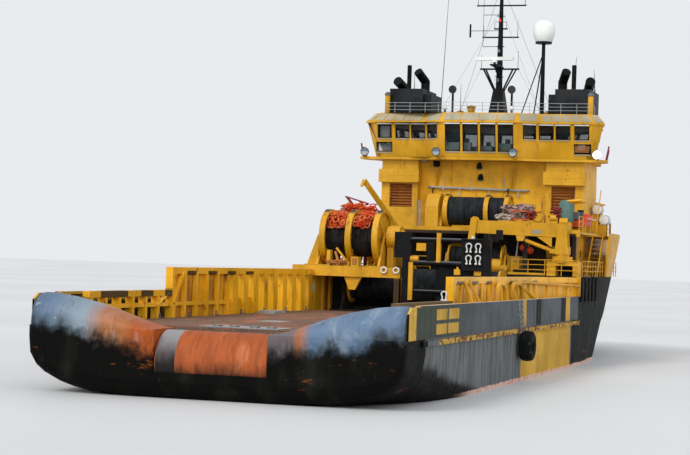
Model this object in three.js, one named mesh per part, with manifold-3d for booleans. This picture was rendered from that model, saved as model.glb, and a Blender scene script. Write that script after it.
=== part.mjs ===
// Anchor-handling tug: a 76 m working ship as a half-scale model, afloat in its light condition.
// Every size below is in metres of the full-size ship: s runs forward from the aftmost point of the stern,
// y runs to port and z runs up from the waterline. The exported group turns these into model millimetres,
// with its origin on the waterline, on the centreline, midway along the ship.
import * as THREE from "three";
import { mergeVertices } from "three/addons/utils/BufferGeometryUtils.js";
import Module from "manifold-3d";

const wasm = await Module();
wasm.setup();

// Driving dimensions, full size
const MODEL_MM_PER_METRE = 500; // 1:2
const LENGTH = 76;
const HALF_BEAM = 9;
const KEEL_Z = -5;
const DECK_Z = 3.05; // working deck aft
const FORE_DECK_Z = 5.85; // forecastle deck
const BOAT_DECK_Z = 8.85;
const OFFICER_DECK_Z = 11.45;
const BRIDGE_DECK_Z = 14.15;
const EAVES_Z = 16.65;
const ROOF_TOP_Z = 17.4;
const BREAK_S = 43.4; // where the forecastle begins
const RAIL_Y = 7.6; // inner cargo rail, off the centreline
const RAIL_LOW_Z = 4.6;
const RAIL_TOP_Z = 5.8;
const RAIL_STEP_S = 13.3; // where the low cargo rail steps up
const WINCH_S = 37; // aft end of the winch space
const SEAT = 0.0008; // 0.4 mm on the model, between pieces that rest on each other
const RUN = 0.0007; // radial play of a journal

// Materials
const paint = (color, roughness = 0.55, metalness = 0.1) =>
  new THREE.MeshStandardMaterial({ color, roughness, metalness });
const HULL_BLACK = paint(0x1d1f20, 0.7);
const STRAKE_GREY = paint(0x4b4f55, 0.65);
const SHIP_YELLOW = paint(0xe0a312, 0.5);
const FRAME_BLACK = paint(0x17191b, 0.6);
const FUNNEL_BLUE = paint(0x26323a, 0.6);
const WORN_STEEL = paint(0xa65a33, 0.75, 0.3);
const QUARTER_STEEL = paint(0x71859a, 0.6, 0.4);
const BARE_STEEL = paint(0x8a8d8f, 0.45, 0.8);
const WIRE = paint(0x24272a, 0.8, 0.2);
const TIMBER = paint(0x7d5a44, 0.9, 0);
const RUBBER = paint(0x101111, 0.95, 0);
const BOAT_ORANGE = paint(0xd1441d, 0.6, 0);
const WHITE = paint(0xe6e7e6, 0.5, 0);
const DARK_GLASS = paint(0x1b2a30, 0.1, 0);
const BRONZE = paint(0xa07a3c, 0.35, 0.9);

// Solids
function solidOf(geometry) {
  const bare = geometry.index ? geometry.toNonIndexed() : geometry.clone();
  bare.deleteAttribute("normal");
  bare.deleteAttribute("uv");
  const merged = mergeVertices(bare, 1e-5);
  const vertProperties = new Float32Array(merged.attributes.position.array);
  const triVerts = new Uint32Array(merged.index.array);
  const made = new wasm.Manifold(new wasm.Mesh({ numProp: 3, vertProperties, triVerts }));
  if (made.volume() > 0) return made;
  for (let i = 0; i < triVerts.length; i += 3) {
    [triVerts[i + 1], triVerts[i + 2]] = [triVerts[i + 2], triVerts[i + 1]];
  }
  return new wasm.Manifold(new wasm.Mesh({ numProp: 3, vertProperties, triVerts }));
}

const join = (...solids) => solids.flat().reduce((a, b) => a.add(b));
const cut = (body, ...tools) => tools.flat().reduce((a, b) => a.subtract(b), body);

// A box from its low and high place along s, y and z.
function box([s0, s1], [y0, y1], [z0, z1]) {
  const g = new THREE.BoxGeometry(s1 - s0, y1 - y0, z1 - z0);
  return solidOf(g.translate((s0 + s1) / 2, (y0 + y1) / 2, (z0 + z1) / 2));
}

// A round bar, tapered if endRadius differs, between two points.
function rod(from, to, radius, segments = 12, endRadius = radius) {
  const a = new THREE.Vector3(...from);
  const b = new THREE.Vector3(...to);
  const along = b.clone().sub(a);
  const g = new THREE.CylinderGeometry(endRadius, radius, along.length(), segments);
  g.applyQuaternion(
    new THREE.Quaternion().setFromUnitVectors(new THREE.Vector3(0, 1, 0), along.normalize()),
  );
  const middle = a.add(b).multiplyScalar(0.5);
  return solidOf(g.translate(middle.x, middle.y, middle.z));
}

// A square bar between two points.
const bar = (from, to, width) => rod(from, to, width * Math.SQRT1_2, 4);

// A prism of an outline given in (s, z), between two places across the ship.
function sideProfile(outline, y0, y1) {
  const shape = new THREE.Shape(outline.map(([s, z]) => new THREE.Vector2(s, z)));
  const g = new THREE.ExtrudeGeometry(shape, { depth: y1 - y0, bevelEnabled: false });
  return solidOf(g.rotateX(Math.PI / 2).translate(0, y1, 0));
}

// A prism of an outline given in (y, z), between two places along the ship.
function crossProfile(outline, s0, s1) {
  const shape = new THREE.Shape(outline.map(([y, z]) => new THREE.Vector2(y, z)));
  const g = new THREE.ExtrudeGeometry(shape, { depth: s1 - s0, bevelEnabled: false });
  return solidOf(g.rotateX(Math.PI / 2).rotateZ(Math.PI / 2).translate(s0, 0, 0));
}

// A prism of an outline given in (s, y), between two heights.
function planProfile(outline, z0, z1) {
  const shape = new THREE.Shape(outline.map(([s, y]) => new THREE.Vector2(s, y)));
  const g = new THREE.ExtrudeGeometry(shape, { depth: z1 - z0, bevelEnabled: false });
  return solidOf(g.translate(0, 0, z0));
}

// A skin through rings of points, closed at both ends by fans from each ring's first point.
function loft(rings) {
  const count = rings[0].length;
  const faces = [];
  for (let r = 0; r + 1 < rings.length; r++) {
    for (let i = 0; i < count; i++) {
      const a = r * count + i;
      const b = r * count + ((i + 1) % count);
      faces.push(a, b, b + count, a, b + count, a + count);
    }
  }
  const last = (rings.length - 1) * count;
  for (let i = 1; i + 1 < count; i++) {
    faces.push(0, i + 1, i, last, last + i, last + i + 1);
  }
  const g = new THREE.BufferGeometry();
  g.setAttribute("position", new THREE.Float32BufferAttribute(rings.flat(2), 3));
  g.setIndex(faces);
  return solidOf(g);
}

// A turned shape: profile in (radius, height) with its height along z, y or s.
function turned(profile, place, axis = "z", segments = 24) {
  const g = new THREE.LatheGeometry(
    profile.map(([r, h]) => new THREE.Vector2(r, h)),
    segments,
  );
  if (axis === "z") g.rotateX(Math.PI / 2);
  if (axis === "s") g.rotateZ(-Math.PI / 2);
  return solidOf(g.translate(...place));
}

const mirrored = (solid) => solid.scale([1, -1, 1]);
const sided = (solid, side) => (side > 0 ? solid : mirrored(solid));
const JOURNAL_SIDES = 32; // enough that a many-sided journal runs true in its bore
const boreRadius = (radius) => (radius + RUN) / Math.cos(Math.PI / JOURNAL_SIDES);
const shaftRod = (from, to, radius) => rod(from, to, radius, JOURNAL_SIDES);
const boreRod = (from, to, radius) => rod(from, to, boreRadius(radius), JOURNAL_SIDES);
const ordered = (a, b) => [Math.min(a, b), Math.max(a, b)];
const bothSides = (half) => half.concat(half.slice().reverse().map(([s, y]) => [s, -y]));

const ship = new THREE.Group();
function add(name, solid, material) {
  const m = solid.getMesh();
  const g = new THREE.BufferGeometry();
  const xyz = new Float32Array(m.numVert * 3);
  for (let i = 0; i < m.numVert; i++) {
    xyz.set(m.vertProperties.subarray(i * m.numProp, i * m.numProp + 3), i * 3);
  }
  g.setAttribute("position", new THREE.BufferAttribute(xyz, 3));
  g.setIndex(new THREE.BufferAttribute(new Uint32Array(m.triVerts), 1));
  const mesh = new THREE.Mesh(g, material);
  mesh.name = name;
  ship.add(mesh);
}

// Hull
// Half a section runs from the deck edge to the start of the bilge and round a super-ellipse to the keel.
const BOW_RAKE = 0.34; // forward lean of the stem for each metre of height
const HULL_STATIONS = [
  // s, keel z, bilge top z, half-breadth there, half-breadth at deck, fullness, share of the bow rake
  { s: 0, keel: 0.75, bilge: 2.6, half: 8.86, deckHalf: 8.86, full: 3.4, rake: 0 },
  { s: 0.12, keel: 0.36, bilge: 2.57, half: 8.96, deckHalf: 8.96, full: 3.35, rake: 0 },
  { s: 0.35, keel: 0.08, bilge: 2.53, half: 9, deckHalf: 9, full: 3.3, rake: 0 },
  { s: 0.8, keel: -0.14, bilge: 2.5, half: 9, deckHalf: 9, full: 3.25, rake: 0 },
  { s: 3, keel: -0.3, bilge: 2.4, half: 9, deckHalf: 9, full: 3.3, rake: 0 },
  { s: 9, keel: -1.3, bilge: 1.6, half: 9, deckHalf: 9, full: 3.6, rake: 0 },
  { s: 15, keel: -2.7, bilge: 0, half: 9, deckHalf: 9, full: 4, rake: 0 },
  { s: 21, keel: -4.2, bilge: -1.6, half: 9, deckHalf: 9, full: 5, rake: 0 },
  { s: 26, keel: -5, bilge: -2.6, half: 9, deckHalf: 9, full: 6, rake: 0 },
  { s: BREAK_S, keel: -5, bilge: -2.6, half: 9, deckHalf: 9, full: 6, rake: 0 },
  { s: 49, keel: -5, bilge: -2.6, half: 8.5, deckHalf: 9, full: 5.4, rake: 0 },
  { s: 54.6, keel: -5, bilge: -2.3, half: 7.15, deckHalf: 8.8, full: 4.6, rake: 0.05 },
  { s: 58, keel: -5, bilge: -1.9, half: 6.1, deckHalf: 8.3, full: 3.8, rake: 0.16 },
  { s: 61.5, keel: -5, bilge: -1.6, half: 5, deckHalf: 7.65, full: 3.1, rake: 0.3 },
  { s: 65.5, keel: -5, bilge: -1, half: 3.9, deckHalf: 6.6, full: 2.5, rake: 0.55 },
  { s: 68.5, keel: -5, bilge: -0.6, half: 2.7, deckHalf: 5.2, full: 2.1, rake: 0.78 },
  { s: 70.6, keel: -5, bilge: -0.4, half: 1.2, deckHalf: 3.2, full: 2, rake: 0.92 },
  { s: 71.75, keel: -4.9, bilge: -0.3, half: 0.2, deckHalf: 0.6, full: 2, rake: 1 },
];
const BILGE_ANGLES = [0, 10, 20, 30, 40, 49, 58, 67, 75, 83, 90].map(THREE.MathUtils.degToRad);
const leaning = (station, z) => station.s + station.rake * BOW_RAKE * (z - KEEL_Z);

function hullRing(station) {
  const { keel, bilge, half, deckHalf, full } = station;
  const round = BILGE_ANGLES.map((t) => [
    half * Math.max(Math.cos(t), 0) ** (2 / full),
    bilge - (bilge - keel) * Math.sin(t) ** (2 / full),
  ]);
  round[round.length - 1][0] = 0;
  const side = [[deckHalf, DECK_Z], ...round];
  const far = side.slice(0, -1).reverse().map(([y, z]) => [-y, z]);
  return [[0, DECK_Z], ...side, ...far].map(([y, z]) => [leaning(station, z), y, z]);
}

const ROLLER = { s: 1.5, z: 1.56, radius: 1.5, half: 2.68, journal: 0.18, journalEnd: 2.95 };
const TUNNEL = { places: [62.6, 65.4], z: -3.1, radius: 0.85 }; // bow thrusters
const SHAFT = {
  y: 3.9, propS: 8.9, propZ: -3.3, hullS: 22, hullZ: -3.9, tube: 0.34, radius: 0.12, inner: 10.6,
};
const NOZZLE = { radius: 1.62, throat: 1.42, s0: 8.2, s1: 9.6 };
const RUDDER = { s: 6.5, y: 3.9, stock: 0.16, stockTop: -0.35, top: -1.72, bottom: -4.75 };

function makeHull() {
  const skin = loft(HULL_STATIONS.map(hullRing));
  const bulb = solidOf(
    new THREE.SphereGeometry(1, 14, 8).scale(2.6, 1.15, 1.45).translate(71.9, 0, -3.25),
  );
  const { s, z, radius, half, journal, journalEnd } = ROLLER;
  const pocket = [
    rod([s, -half - 0.03, z], [s, half + 0.03, z], radius + 0.05, 32),
    box([-1, s + 0.5], [-half - 0.03, half + 0.03], [z, DECK_Z + 1]),
    boreRod([s, -journalEnd, z], [s, journalEnd, z], journal),
  ];
  const tunnels = TUNNEL.places.map((at) =>
    rod([at, -9.5, TUNNEL.z], [at, 9.5, TUNNEL.z], TUNNEL.radius, 16),
  );
  const skeg = sideProfile([[9, -1.1], [24, -4.4], [24, -4.95], [12.5, -4.6]], -0.35, 0.35);
  const gear = [1, -1].flatMap((side) => {
    const y = side * SHAFT.y;
    const tube = rod([SHAFT.hullS, y, SHAFT.hullZ], [10, y, SHAFT.propZ], 0.5, 14, SHAFT.tube);
    const strut = sideProfile([[10.1, -3.3], [11.4, -3.3], [12.2, -1.3], [10.4, -1.1]], y - 0.12, y + 0.12);
    const duct = turned(
      [[NOZZLE.throat, NOZZLE.s0], [NOZZLE.radius, NOZZLE.s0 + 0.06], [NOZZLE.radius + 0.06, 8.9],
        [NOZZLE.radius + 0.04, NOZZLE.s1], [NOZZLE.throat + 0.14, NOZZLE.s1], [NOZZLE.throat, 9],
        [NOZZLE.throat, NOZZLE.s0]],
      [0, y, SHAFT.propZ], "s", 24,
    );
    const head = box([8.3, 9.5], [y - 0.4, y + 0.4], [SHAFT.propZ + NOZZLE.radius - 0.08, -0.9]);
    return [tube, strut, duct, head];
  });
  const stockBores = [1, -1].map((side) =>
    boreRod([RUDDER.s, side * RUDDER.y, -3], [RUDDER.s, side * RUDDER.y, RUDDER.stockTop + 0.02],
      RUDDER.stock),
  );
  const belting = [1, -1].map((side) =>
    box([2.6, BREAK_S], ordered(side * 8.9, side * 9.12), [2.72, 2.98]));
  const shaftBores = [1, -1].map((side) =>
    boreRod([9.5, side * SHAFT.y, SHAFT.propZ], [SHAFT.inner + 0.1, side * SHAFT.y, SHAFT.propZ],
      SHAFT.radius));
  const bed = join(skin, bulb, skeg, gear, belting);
  const hull = cut(bed, pocket, tunnels, stockBores, shaftBores);
  add("hull", hull, HULL_BLACK);
  return hull;
}

// The raised horns beside the stern roller: a ridge with a round back, its crest climbing outboard.
const HORN_CREST = [
  // y, crest z, where its round begins
  [2.75, 3.1, 0], [3.4, 3.24, 0], [4.1, 3.5, 0], [5.1, 3.87, 0], [6.1, 4.16, 0], [7.3, 4.42, 0],
  [8.3, 4.54, 0], [8.7, 4.54, 0], [8.88, 4.5, 0.1],
];
const HORN_LENGTH = 2.7;
const HORN_ARC = [0, 14, 32, 52, 72, 90, 108, 128, 148, 166, 180].map(THREE.MathUtils.degToRad);

function makeHorn() {
  const base = DECK_Z + SEAT;
  return loft(HORN_CREST.map(([y, crest, start]) => {
    const reach = (HORN_LENGTH - start) / 2;
    return HORN_ARC.map((t) => [
      start + reach * (1 - Math.cos(t)), y, base + (crest - base) * Math.max(Math.sin(t), 0) ** 0.8,
    ]);
  }));
}

// Forecastle: the same rake carried up, with flare.
const FORE_STATIONS = [
  // s, half-breadth at the working deck, at the forecastle deck, at the bulwark top, share of the bow rake
  { s: BREAK_S, low: 9, high: 9, top: 9, rake: 0 },
  { s: 49, low: 9, high: 9, top: 9, rake: 0 },
  { s: 54.6, low: 8.8, high: 9, top: 9.25, rake: 0.05 },
  { s: 58, low: 8.3, high: 8.75, top: 9.2, rake: 0.16 },
  { s: 61.5, low: 7.65, high: 8.2, top: 8.75, rake: 0.3 },
  { s: 65.5, low: 6.6, high: 7.45, top: 8, rake: 0.55 },
  { s: 68.5, low: 5.2, high: 6.1, top: 6.8, rake: 0.78 },
  { s: 70.6, low: 3.2, high: 4.1, top: 4.8, rake: 0.92 },
  { s: 71.75, low: 0.6, high: 1.2, top: 1.8, rake: 1 },
];
const BULWARK_TOP_Z = 9;
const BOW_RAIL_Z = 7.5;

function foreRing(station, lowHalf, highHalf, z0, z1) {
  return [
    [0, z1], [highHalf, z1], [lowHalf, z0], [0, z0], [-lowHalf, z0], [-highHalf, z1],
  ].map(([y, z]) => [leaning(station, z), y, z]);
}

const BOLLARDS = [[46.6, 8.35], [47.4, 8.35], [67.2, 5], [68, 5]]; // s, y

function makeForecastle() {
  const low = DECK_Z + SEAT;
  const body = loft(FORE_STATIONS.map((f) => foreRing(f, f.low, f.high, low, FORE_DECK_Z)));
  const hawse = [1, -1].map((side) => rod([68.6, side * 2, 6.4], [72, side * 6.9, 3.6], 0.32, 12));
  const strips = [1, -1].flatMap((side) => [43.9, 45.3, 46.7, 48.1, 49.5].map((s) =>
    box([s, s + 0.6], ordered(side * 8.9, side * 9.14), [4.25, 5.8])));
  const bollards = [1, -1].flatMap((side) => BOLLARDS.map(([s, y]) =>
    rod([s, side * y, FORE_DECK_Z - 0.1], [s, side * y, FORE_DECK_Z + 0.55], 0.17, 10)));
  const forecastle = join(cut(body, hawse), strips, bollards);
  add("forecastle", forecastle, HULL_BLACK);

  const stations = FORE_STATIONS.slice(2); // the bulwark starts beside the stairs
  const wall = 0.14;
  const z0 = FORE_DECK_Z + SEAT;
  const outer = loft(stations.map((f) => foreRing(f, f.high, f.top, z0, BULWARK_TOP_Z)));
  const inner = loft(stations.map((f) => {
    const inset = { ...f, s: f.s - wall * 1.6 };
    return foreRing(inset, Math.max(f.high - wall, 0.3), Math.max(f.top - wall, 0.5), z0 - 0.1,
      BULWARK_TOP_Z + 0.1);
  }));
  const sheer = sideProfile(
    [[61.5, BULWARK_TOP_Z + 0.2], [64.5, BOW_RAIL_Z], [79, BOW_RAIL_Z], [79, 10]], -10, 10);
  add("bow_bulwark", cut(outer, inner, sheer), SHIP_YELLOW);
  return forecastle;
}

// Bulwark along the working deck: plate, capping and inner stays.
function makeBulwark() {
  const [aft, fore] = [HORN_LENGTH + 0.02, BREAK_S - SEAT];
  const z0 = DECK_Z + SEAT;
  const plate = [[0.4, z0], [fore, z0], [fore, 4.5], [0.9, 4.5], [0.4, 4.2]];
  const parts = [
    sideProfile(plate, HALF_BEAM - 0.1, HALF_BEAM),
    box([aft, fore], [HALF_BEAM - 0.35, HALF_BEAM], [4.42, 4.55]),
  ];
  for (let s = aft + 0.6; s < fore - 0.3; s += 3.3) {
    parts.push(box([s, s + 0.06], [HALF_BEAM - 0.5, HALF_BEAM - 0.05], [z0, 4.45]));
  }
  return join(parts);
}

function makeDeck() {
  // Timber sheathing between the cargo rails, from the stern to the winch.
  const sheathing = (from, to) => box([from, to], [-7.3, 7.3], [DECK_Z + SEAT, DECK_Z + 0.1]);
  add("deck_sheathing", sheathing(5.9, WINCH_S), TIMBER);
  add("deck_sheathing_stern", sheathing(3.15, 5.9 - SEAT), TIMBER);
  // Flush plate with the wire stops and guide pins drawn down into it.
  const top = DECK_Z + 0.1;
  const plate = box([3.25, 5.6], [-2, 2], [top + SEAT, top + 0.04]);
  const crowns = [1.35, 0.5, -0.5, -1.35].map((y) =>
    rod([4.4, y, top + 0.02], [4.4, y, top + 0.1], 0.24, 12));
  add("tow_pin_plate", join(plate, crowns), BARE_STEEL);
}

// Inner cargo rail: low aft, high forward, plated in its aft half and slotted further forward.
function makeCargoRail(end) {
  const z0 = DECK_Z + SEAT;
  const [inner, outer] = [RAIL_Y - 0.2, RAIL_Y + 0.2];
  const parts = [
    box([3.2, RAIL_STEP_S], [inner, outer], [RAIL_LOW_Z - 0.3, RAIL_LOW_Z]),
    box([3.2, 22], [inner + 0.05, outer - 0.05], [3.75, 3.95]),
    box([RAIL_STEP_S, end], [inner, outer], [RAIL_TOP_Z - 0.35, RAIL_TOP_Z]),
    box([RAIL_STEP_S, 22], [RAIL_Y + 0.02, RAIL_Y + 0.1], [z0, RAIL_TOP_Z - 0.1]),
    box([22, 26], [RAIL_Y + 0.02, RAIL_Y + 0.1], [z0, 4.1]),
    box([RAIL_STEP_S, RAIL_STEP_S + 0.5], [inner, outer], [z0, RAIL_TOP_Z - 0.1]),
    bar([RAIL_STEP_S + 0.2, RAIL_Y - 0.15, 3.9], [RAIL_STEP_S + 1.5, RAIL_Y - 0.15, 5.5], 0.22),
    bar([RAIL_STEP_S - 2, RAIL_Y - 0.1, 3.85], [RAIL_STEP_S - 0.3, RAIL_Y - 0.1, 4.5], 0.2),
  ];
  for (let s = 3.3; s < RAIL_STEP_S - 0.5; s += 1.62) {
    parts.push(box([s, s + 0.26], [inner, outer], [z0, RAIL_LOW_Z - 0.1]));
  }
  for (let s = RAIL_STEP_S + 1.7; s < 22; s += 1.62) {
    parts.push(box([s, s + 0.3], [inner, outer], [z0, RAIL_TOP_Z - 0.1]));
  }
  for (let s = 22.4; s < end - 0.8; s += 1.75) {
    parts.push(box([s, s + 0.75], [inner, outer], [z0, RAIL_TOP_Z - 0.1]));
  }
  return join(parts);
}

// On the starboard side the rail runs on past the winch and bends out to the forecastle.
const WING_END_Y = 8.78;
function makeRailWing() {
  const z0 = DECK_Z + SEAT;
  const [from, to] = [36.4, BREAK_S - 0.02];
  const outline = (half) => [
    [from, RAIL_Y - half], [to, WING_END_Y - half], [to, WING_END_Y + half], [from, RAIL_Y + half],
  ];
  const parts = [
    planProfile(outline(0.2), RAIL_TOP_Z - 0.35, RAIL_TOP_Z), planProfile(outline(0.05), z0, 5.5),
  ];
  for (const s of [37.8, 39.6, 41.4, 43]) {
    const y = RAIL_Y + (WING_END_Y - RAIL_Y) * ((s - from) / (to - from));
    parts.push(box([s, s + 0.3], [y - 0.15, y + 0.15], [z0, RAIL_TOP_Z - 0.1]));
  }
  const bulwarkSpace = box([from, BREAK_S], [HALF_BEAM - 0.52, 9.2], [DECK_Z, 4.55 + SEAT]);
  return cut(join(parts), bulwarkSpace);
}

// Stern roller
function makeRoller() {
  const { s, z, radius, half, journal, journalEnd } = ROLLER;
  const body = rod([s, -half, z], [s, half, z], radius, 32);
  const pin = shaftRod([s, -journalEnd + 0.02, z], [s, journalEnd - 0.02, z], journal);
  add("stern_roller", join(body, pin), WORN_STEEL);
}

// A drum on a shaft across the ship: flanges at the given places and rope wound between them.
function drumSolid({ s, z, flangeRadius, ropeRadius, flanges, journal, ends, disc = 0.12 }) {
  const discs = flanges.map((y) => rod([s, y - disc / 2, z], [s, y + disc / 2, z], flangeRadius, 32));
  const wound = rod([s, flanges[0], z], [s, flanges[flanges.length - 1], z], ropeRadius, 24);
  const shaft = shaftRod([s, ends[0], z], [s, ends[1], z], journal);
  return join(wound, discs, shaft);
}

// A plate stand with a bore for that shaft.
function standSolid({ s, z, journal }, y, base, { foot = 2.4, head = 0.5, thick = 0.16, top = 0.4 } = {}) {
  const outline = [
    [s - foot / 2, base], [s + foot / 2, base], [s + head, z + top * 0.6], [s + head * 0.55, z + top],
    [s - head * 0.55, z + top], [s - head, z + top * 0.6],
  ];
  const plate = sideProfile(outline, y - thick / 2, y + thick / 2);
  return cut(plate, boreRod([s, y - 1, z], [s, y + 1, z], journal));
}

const LOWER_DRUM = { s: 41.2, z: 4.75, flangeRadius: 1.5, ropeRadius: 1.3, journal: 0.17 };
const DRUM_PORT = {
  ...LOWER_DRUM, flangeRadius: 1.1, ropeRadius: 0.85, flanges: [2.35, 5.95], ends: [2.06, 6.33],
};
const DRUM_STARBOARD = { ...LOWER_DRUM, flanges: [-4.3, 1.75], ends: [-4.63, 2.04] };
const TOW_DRUM = {
  s: 46.1, z: 6.95, flangeRadius: 0.9, ropeRadius: 0.7, journal: 0.16, flanges: [-3.3, 0.4],
  ends: [-3.6, 0.7],
};
const STORE_REEL = {
  s: 41, z: 8, flangeRadius: 1.85, ropeRadius: 1.3, journal: 0.16, flanges: [3.94, 5.79, 7.59],
  ends: [3.49, 7.99], disc: 0.4,
};
const UPPER_REEL = {
  s: 48.2, z: 10.15, flangeRadius: 1.18, ropeRadius: 1.02, journal: 0.14, flanges: [-3.1, -1.7, 1.2],
  ends: [-3.43, 1.63], disc: 0.32,
};
const PLATFORM_Z = 6.07;

function makeWinches() {
  add("winch_drum_port", drumSolid(DRUM_PORT), WIRE);
  add("winch_drum_starboard", drumSolid(DRUM_STARBOARD), WIRE);
  const base = DECK_Z + SEAT;
  const lower = [
    standSolid(LOWER_DRUM, 6.25, base, { foot: 3, head: 0.55 }),
    standSolid(LOWER_DRUM, 2.05, base, { foot: 3, head: 0.55, thick: 0.34 }),
    standSolid(LOWER_DRUM, -4.55, base, { foot: 3, head: 0.55 }),
  ];
  const bed = box([39.5, 42.95], [-6, 7], [base, base + 0.14]);
  const motors = [[6.38, 7.1], [-5.9, -4.68]].map(([y0, y1]) => join(
    rod([42.9, y0, 4.3], [42.9, y1, 4.3], 0.45, 16), box([42.5, 43.3], [y0, y1], [base, 4.2])));
  const ties = [[2.05, 6.3], [-4.6, 2.05]].map(([y0, y1]) => box([42.6, 42.85], [y0, y1], [base, 3.35]));
  add("winch_frame", join(bed, lower, motors, ties), SHIP_YELLOW);

  add("tow_drum", drumSolid(TOW_DRUM), WIRE);
  const upper = FORE_DECK_Z + SEAT;
  const stands = [0.6, -3.5].map((y) => standSolid(TOW_DRUM, y, upper, { foot: 1.9, head: 0.4, top: 0.3 }));
  const upperBed = box([45.15, 47.05], [-4.5, 0.7], [upper, upper + 0.08]);
  const gearbox = box([45.6, 46.7], [-4.5, -3.68], [upper, 7.1]);
  const motor = join(
    rod([44.75, -2.6, 6.38], [44.75, -3.5, 6.38], 0.52, 16), box([44.4, 45.1], [-3.4, -2.7], [upper, 6.3]),
    box([44.35, 45.2], [-3.5, -2.6], [upper, upper + 0.08]),
  );
  add("tow_drum_stand", join(stands, upperBed, gearbox, motor), SHIP_YELLOW);
}

// Platform over the port side of the winch, with the portal beam that faces the working deck.
function makePlatform() {
  const [aft, fore, top] = [WINCH_S + 0.1, BREAK_S - 0.02, PLATFORM_Z];
  const base = DECK_Z + SEAT;
  const parts = [
    box([aft, aft + 0.6], [1.55, 8.85], [5.4, top]),
    box([aft, fore], [3.3, 8.85], [top - 0.14, top]),
    box([aft, fore], [8.5, 8.85], [5.5, top]),
    box([aft + 0.05, aft + 0.55], [1.6, 1.95], [base, 5.6]),
    box([fore - 0.35, fore], [3.3, 3.6], [base, top]),
    crossProfile([[4.1, 5.5], [5.4, 5.5], [5, 4.55], [4.6, 4.55]], aft + 0.2, aft + 0.4),
  ];
  for (const s of [aft, 40.2, fore - 0.4]) parts.push(box([s, s + 0.3], [8.3, 8.62], [base, 5.6]));
  for (const y of [2.6, 1.78]) {
    parts.push(turned([[0.12, 0], [0.24, 0], [0.24, 0.12], [0.12, 0.12], [0.12, 0]],
      [aft - 0.08, y, top - 0.18], "s", 14));
  }
  add("winch_platform", join(parts), SHIP_YELLOW);

  const seat = top + SEAT;
  const stands = [3.64, 7.91].map((y) =>
    standSolid(STORE_REEL, y, seat, { foot: 3.4, head: 0.35, top: 0.35 }));
  const bed = box([39.1, 42.9], [3.32, 8.7], [seat, seat + 0.06]);
  const motor = join(
    rod([41, 2.55, 8.05], [41, 3.42, 8.05], 0.78, 20), rod([41, 2.35, 8.05], [41, 2.6, 8.05], 0.5, 16),
    box([40.6, 41.4], [3, 3.42], [seat, 7.5]),
  );
  const gussets = [39.6, 42.2].map((s) =>
    crossProfile([[7.9, seat], [8.7, seat], [7.98, 8.1], [7.9, 8.1]], s, s + 0.16));
  add("reel_stand", join(stands, bed, motor, gussets), SHIP_YELLOW);
  add("store_reel", drumSolid(STORE_REEL), WIRE);
}

// Black portal between winch and working deck, with a panel that carries spare shackles.
function makeGantry() {
  const z0 = DECK_Z + SEAT;
  const s = WINCH_S + 0.45;
  const [port, starboard] = [1.2, -4.1];
  const posts = [port, starboard].map((y) => box([s - 0.24, s + 0.24], [y - 0.24, y + 0.24], [z0, 8.4]));
  const levels = [
    // z, radius
    [7.92, 0.15], [6.42, 0.17], [4.6, 0.12],
  ];
  const rails = levels.map(([z, r]) => rod([s, port, z], [s, starboard, z], r, 12));
  const head = box([s - 0.2, s + 0.2], [port, port + 0.8], [6.75, 8.4]);
  const panel = box([s - 0.2, s - 0.08], [-4, -2.45], [6.1, 8]);
  const bowProfile = [[0.11, 0], [0.2, 0], [0.2, 0.1], [0.11, 0.1], [0.11, 0]];
  const shackles = [-2.95, -3.56].flatMap((y) => [7.52, 6.74].flatMap((z) => [
    turned(bowProfile, [s - 0.29, y, z], "s", 12),
    box([s - 0.29, s - 0.19], [y - 0.24, y + 0.24], [z - 0.36, z - 0.26]),
  ]));
  const braces = [port, starboard].map((y) => bar([s, y, 7.4], [s + 1.5, y, z0 + 0.1], 0.2));
  add("shackle_gantry", join(posts, head, rails, panel, shackles, braces), FRAME_BLACK);
}

// Deckhouse
const STAIRS = { s0: 52.9, s1: 55.5, y0: 7.85, y1: 8.65, steps: 9 };
const CASING = { aft: 53, fore: 58.2, y0: 4.75, y1: 7.5 };
const LOUVRE_HEIGHTS = [10.54, 10.75, 10.96, 11.17, 11.38, 11.59, 11.8, 12.01];
const FLOODLIGHTS = [
  // s, y on the aft edge of the bridge deck
  [52.85, 8.75], [51.75, 3.05], [51.75, -2.6], [52.85, -8.45],
];

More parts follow.
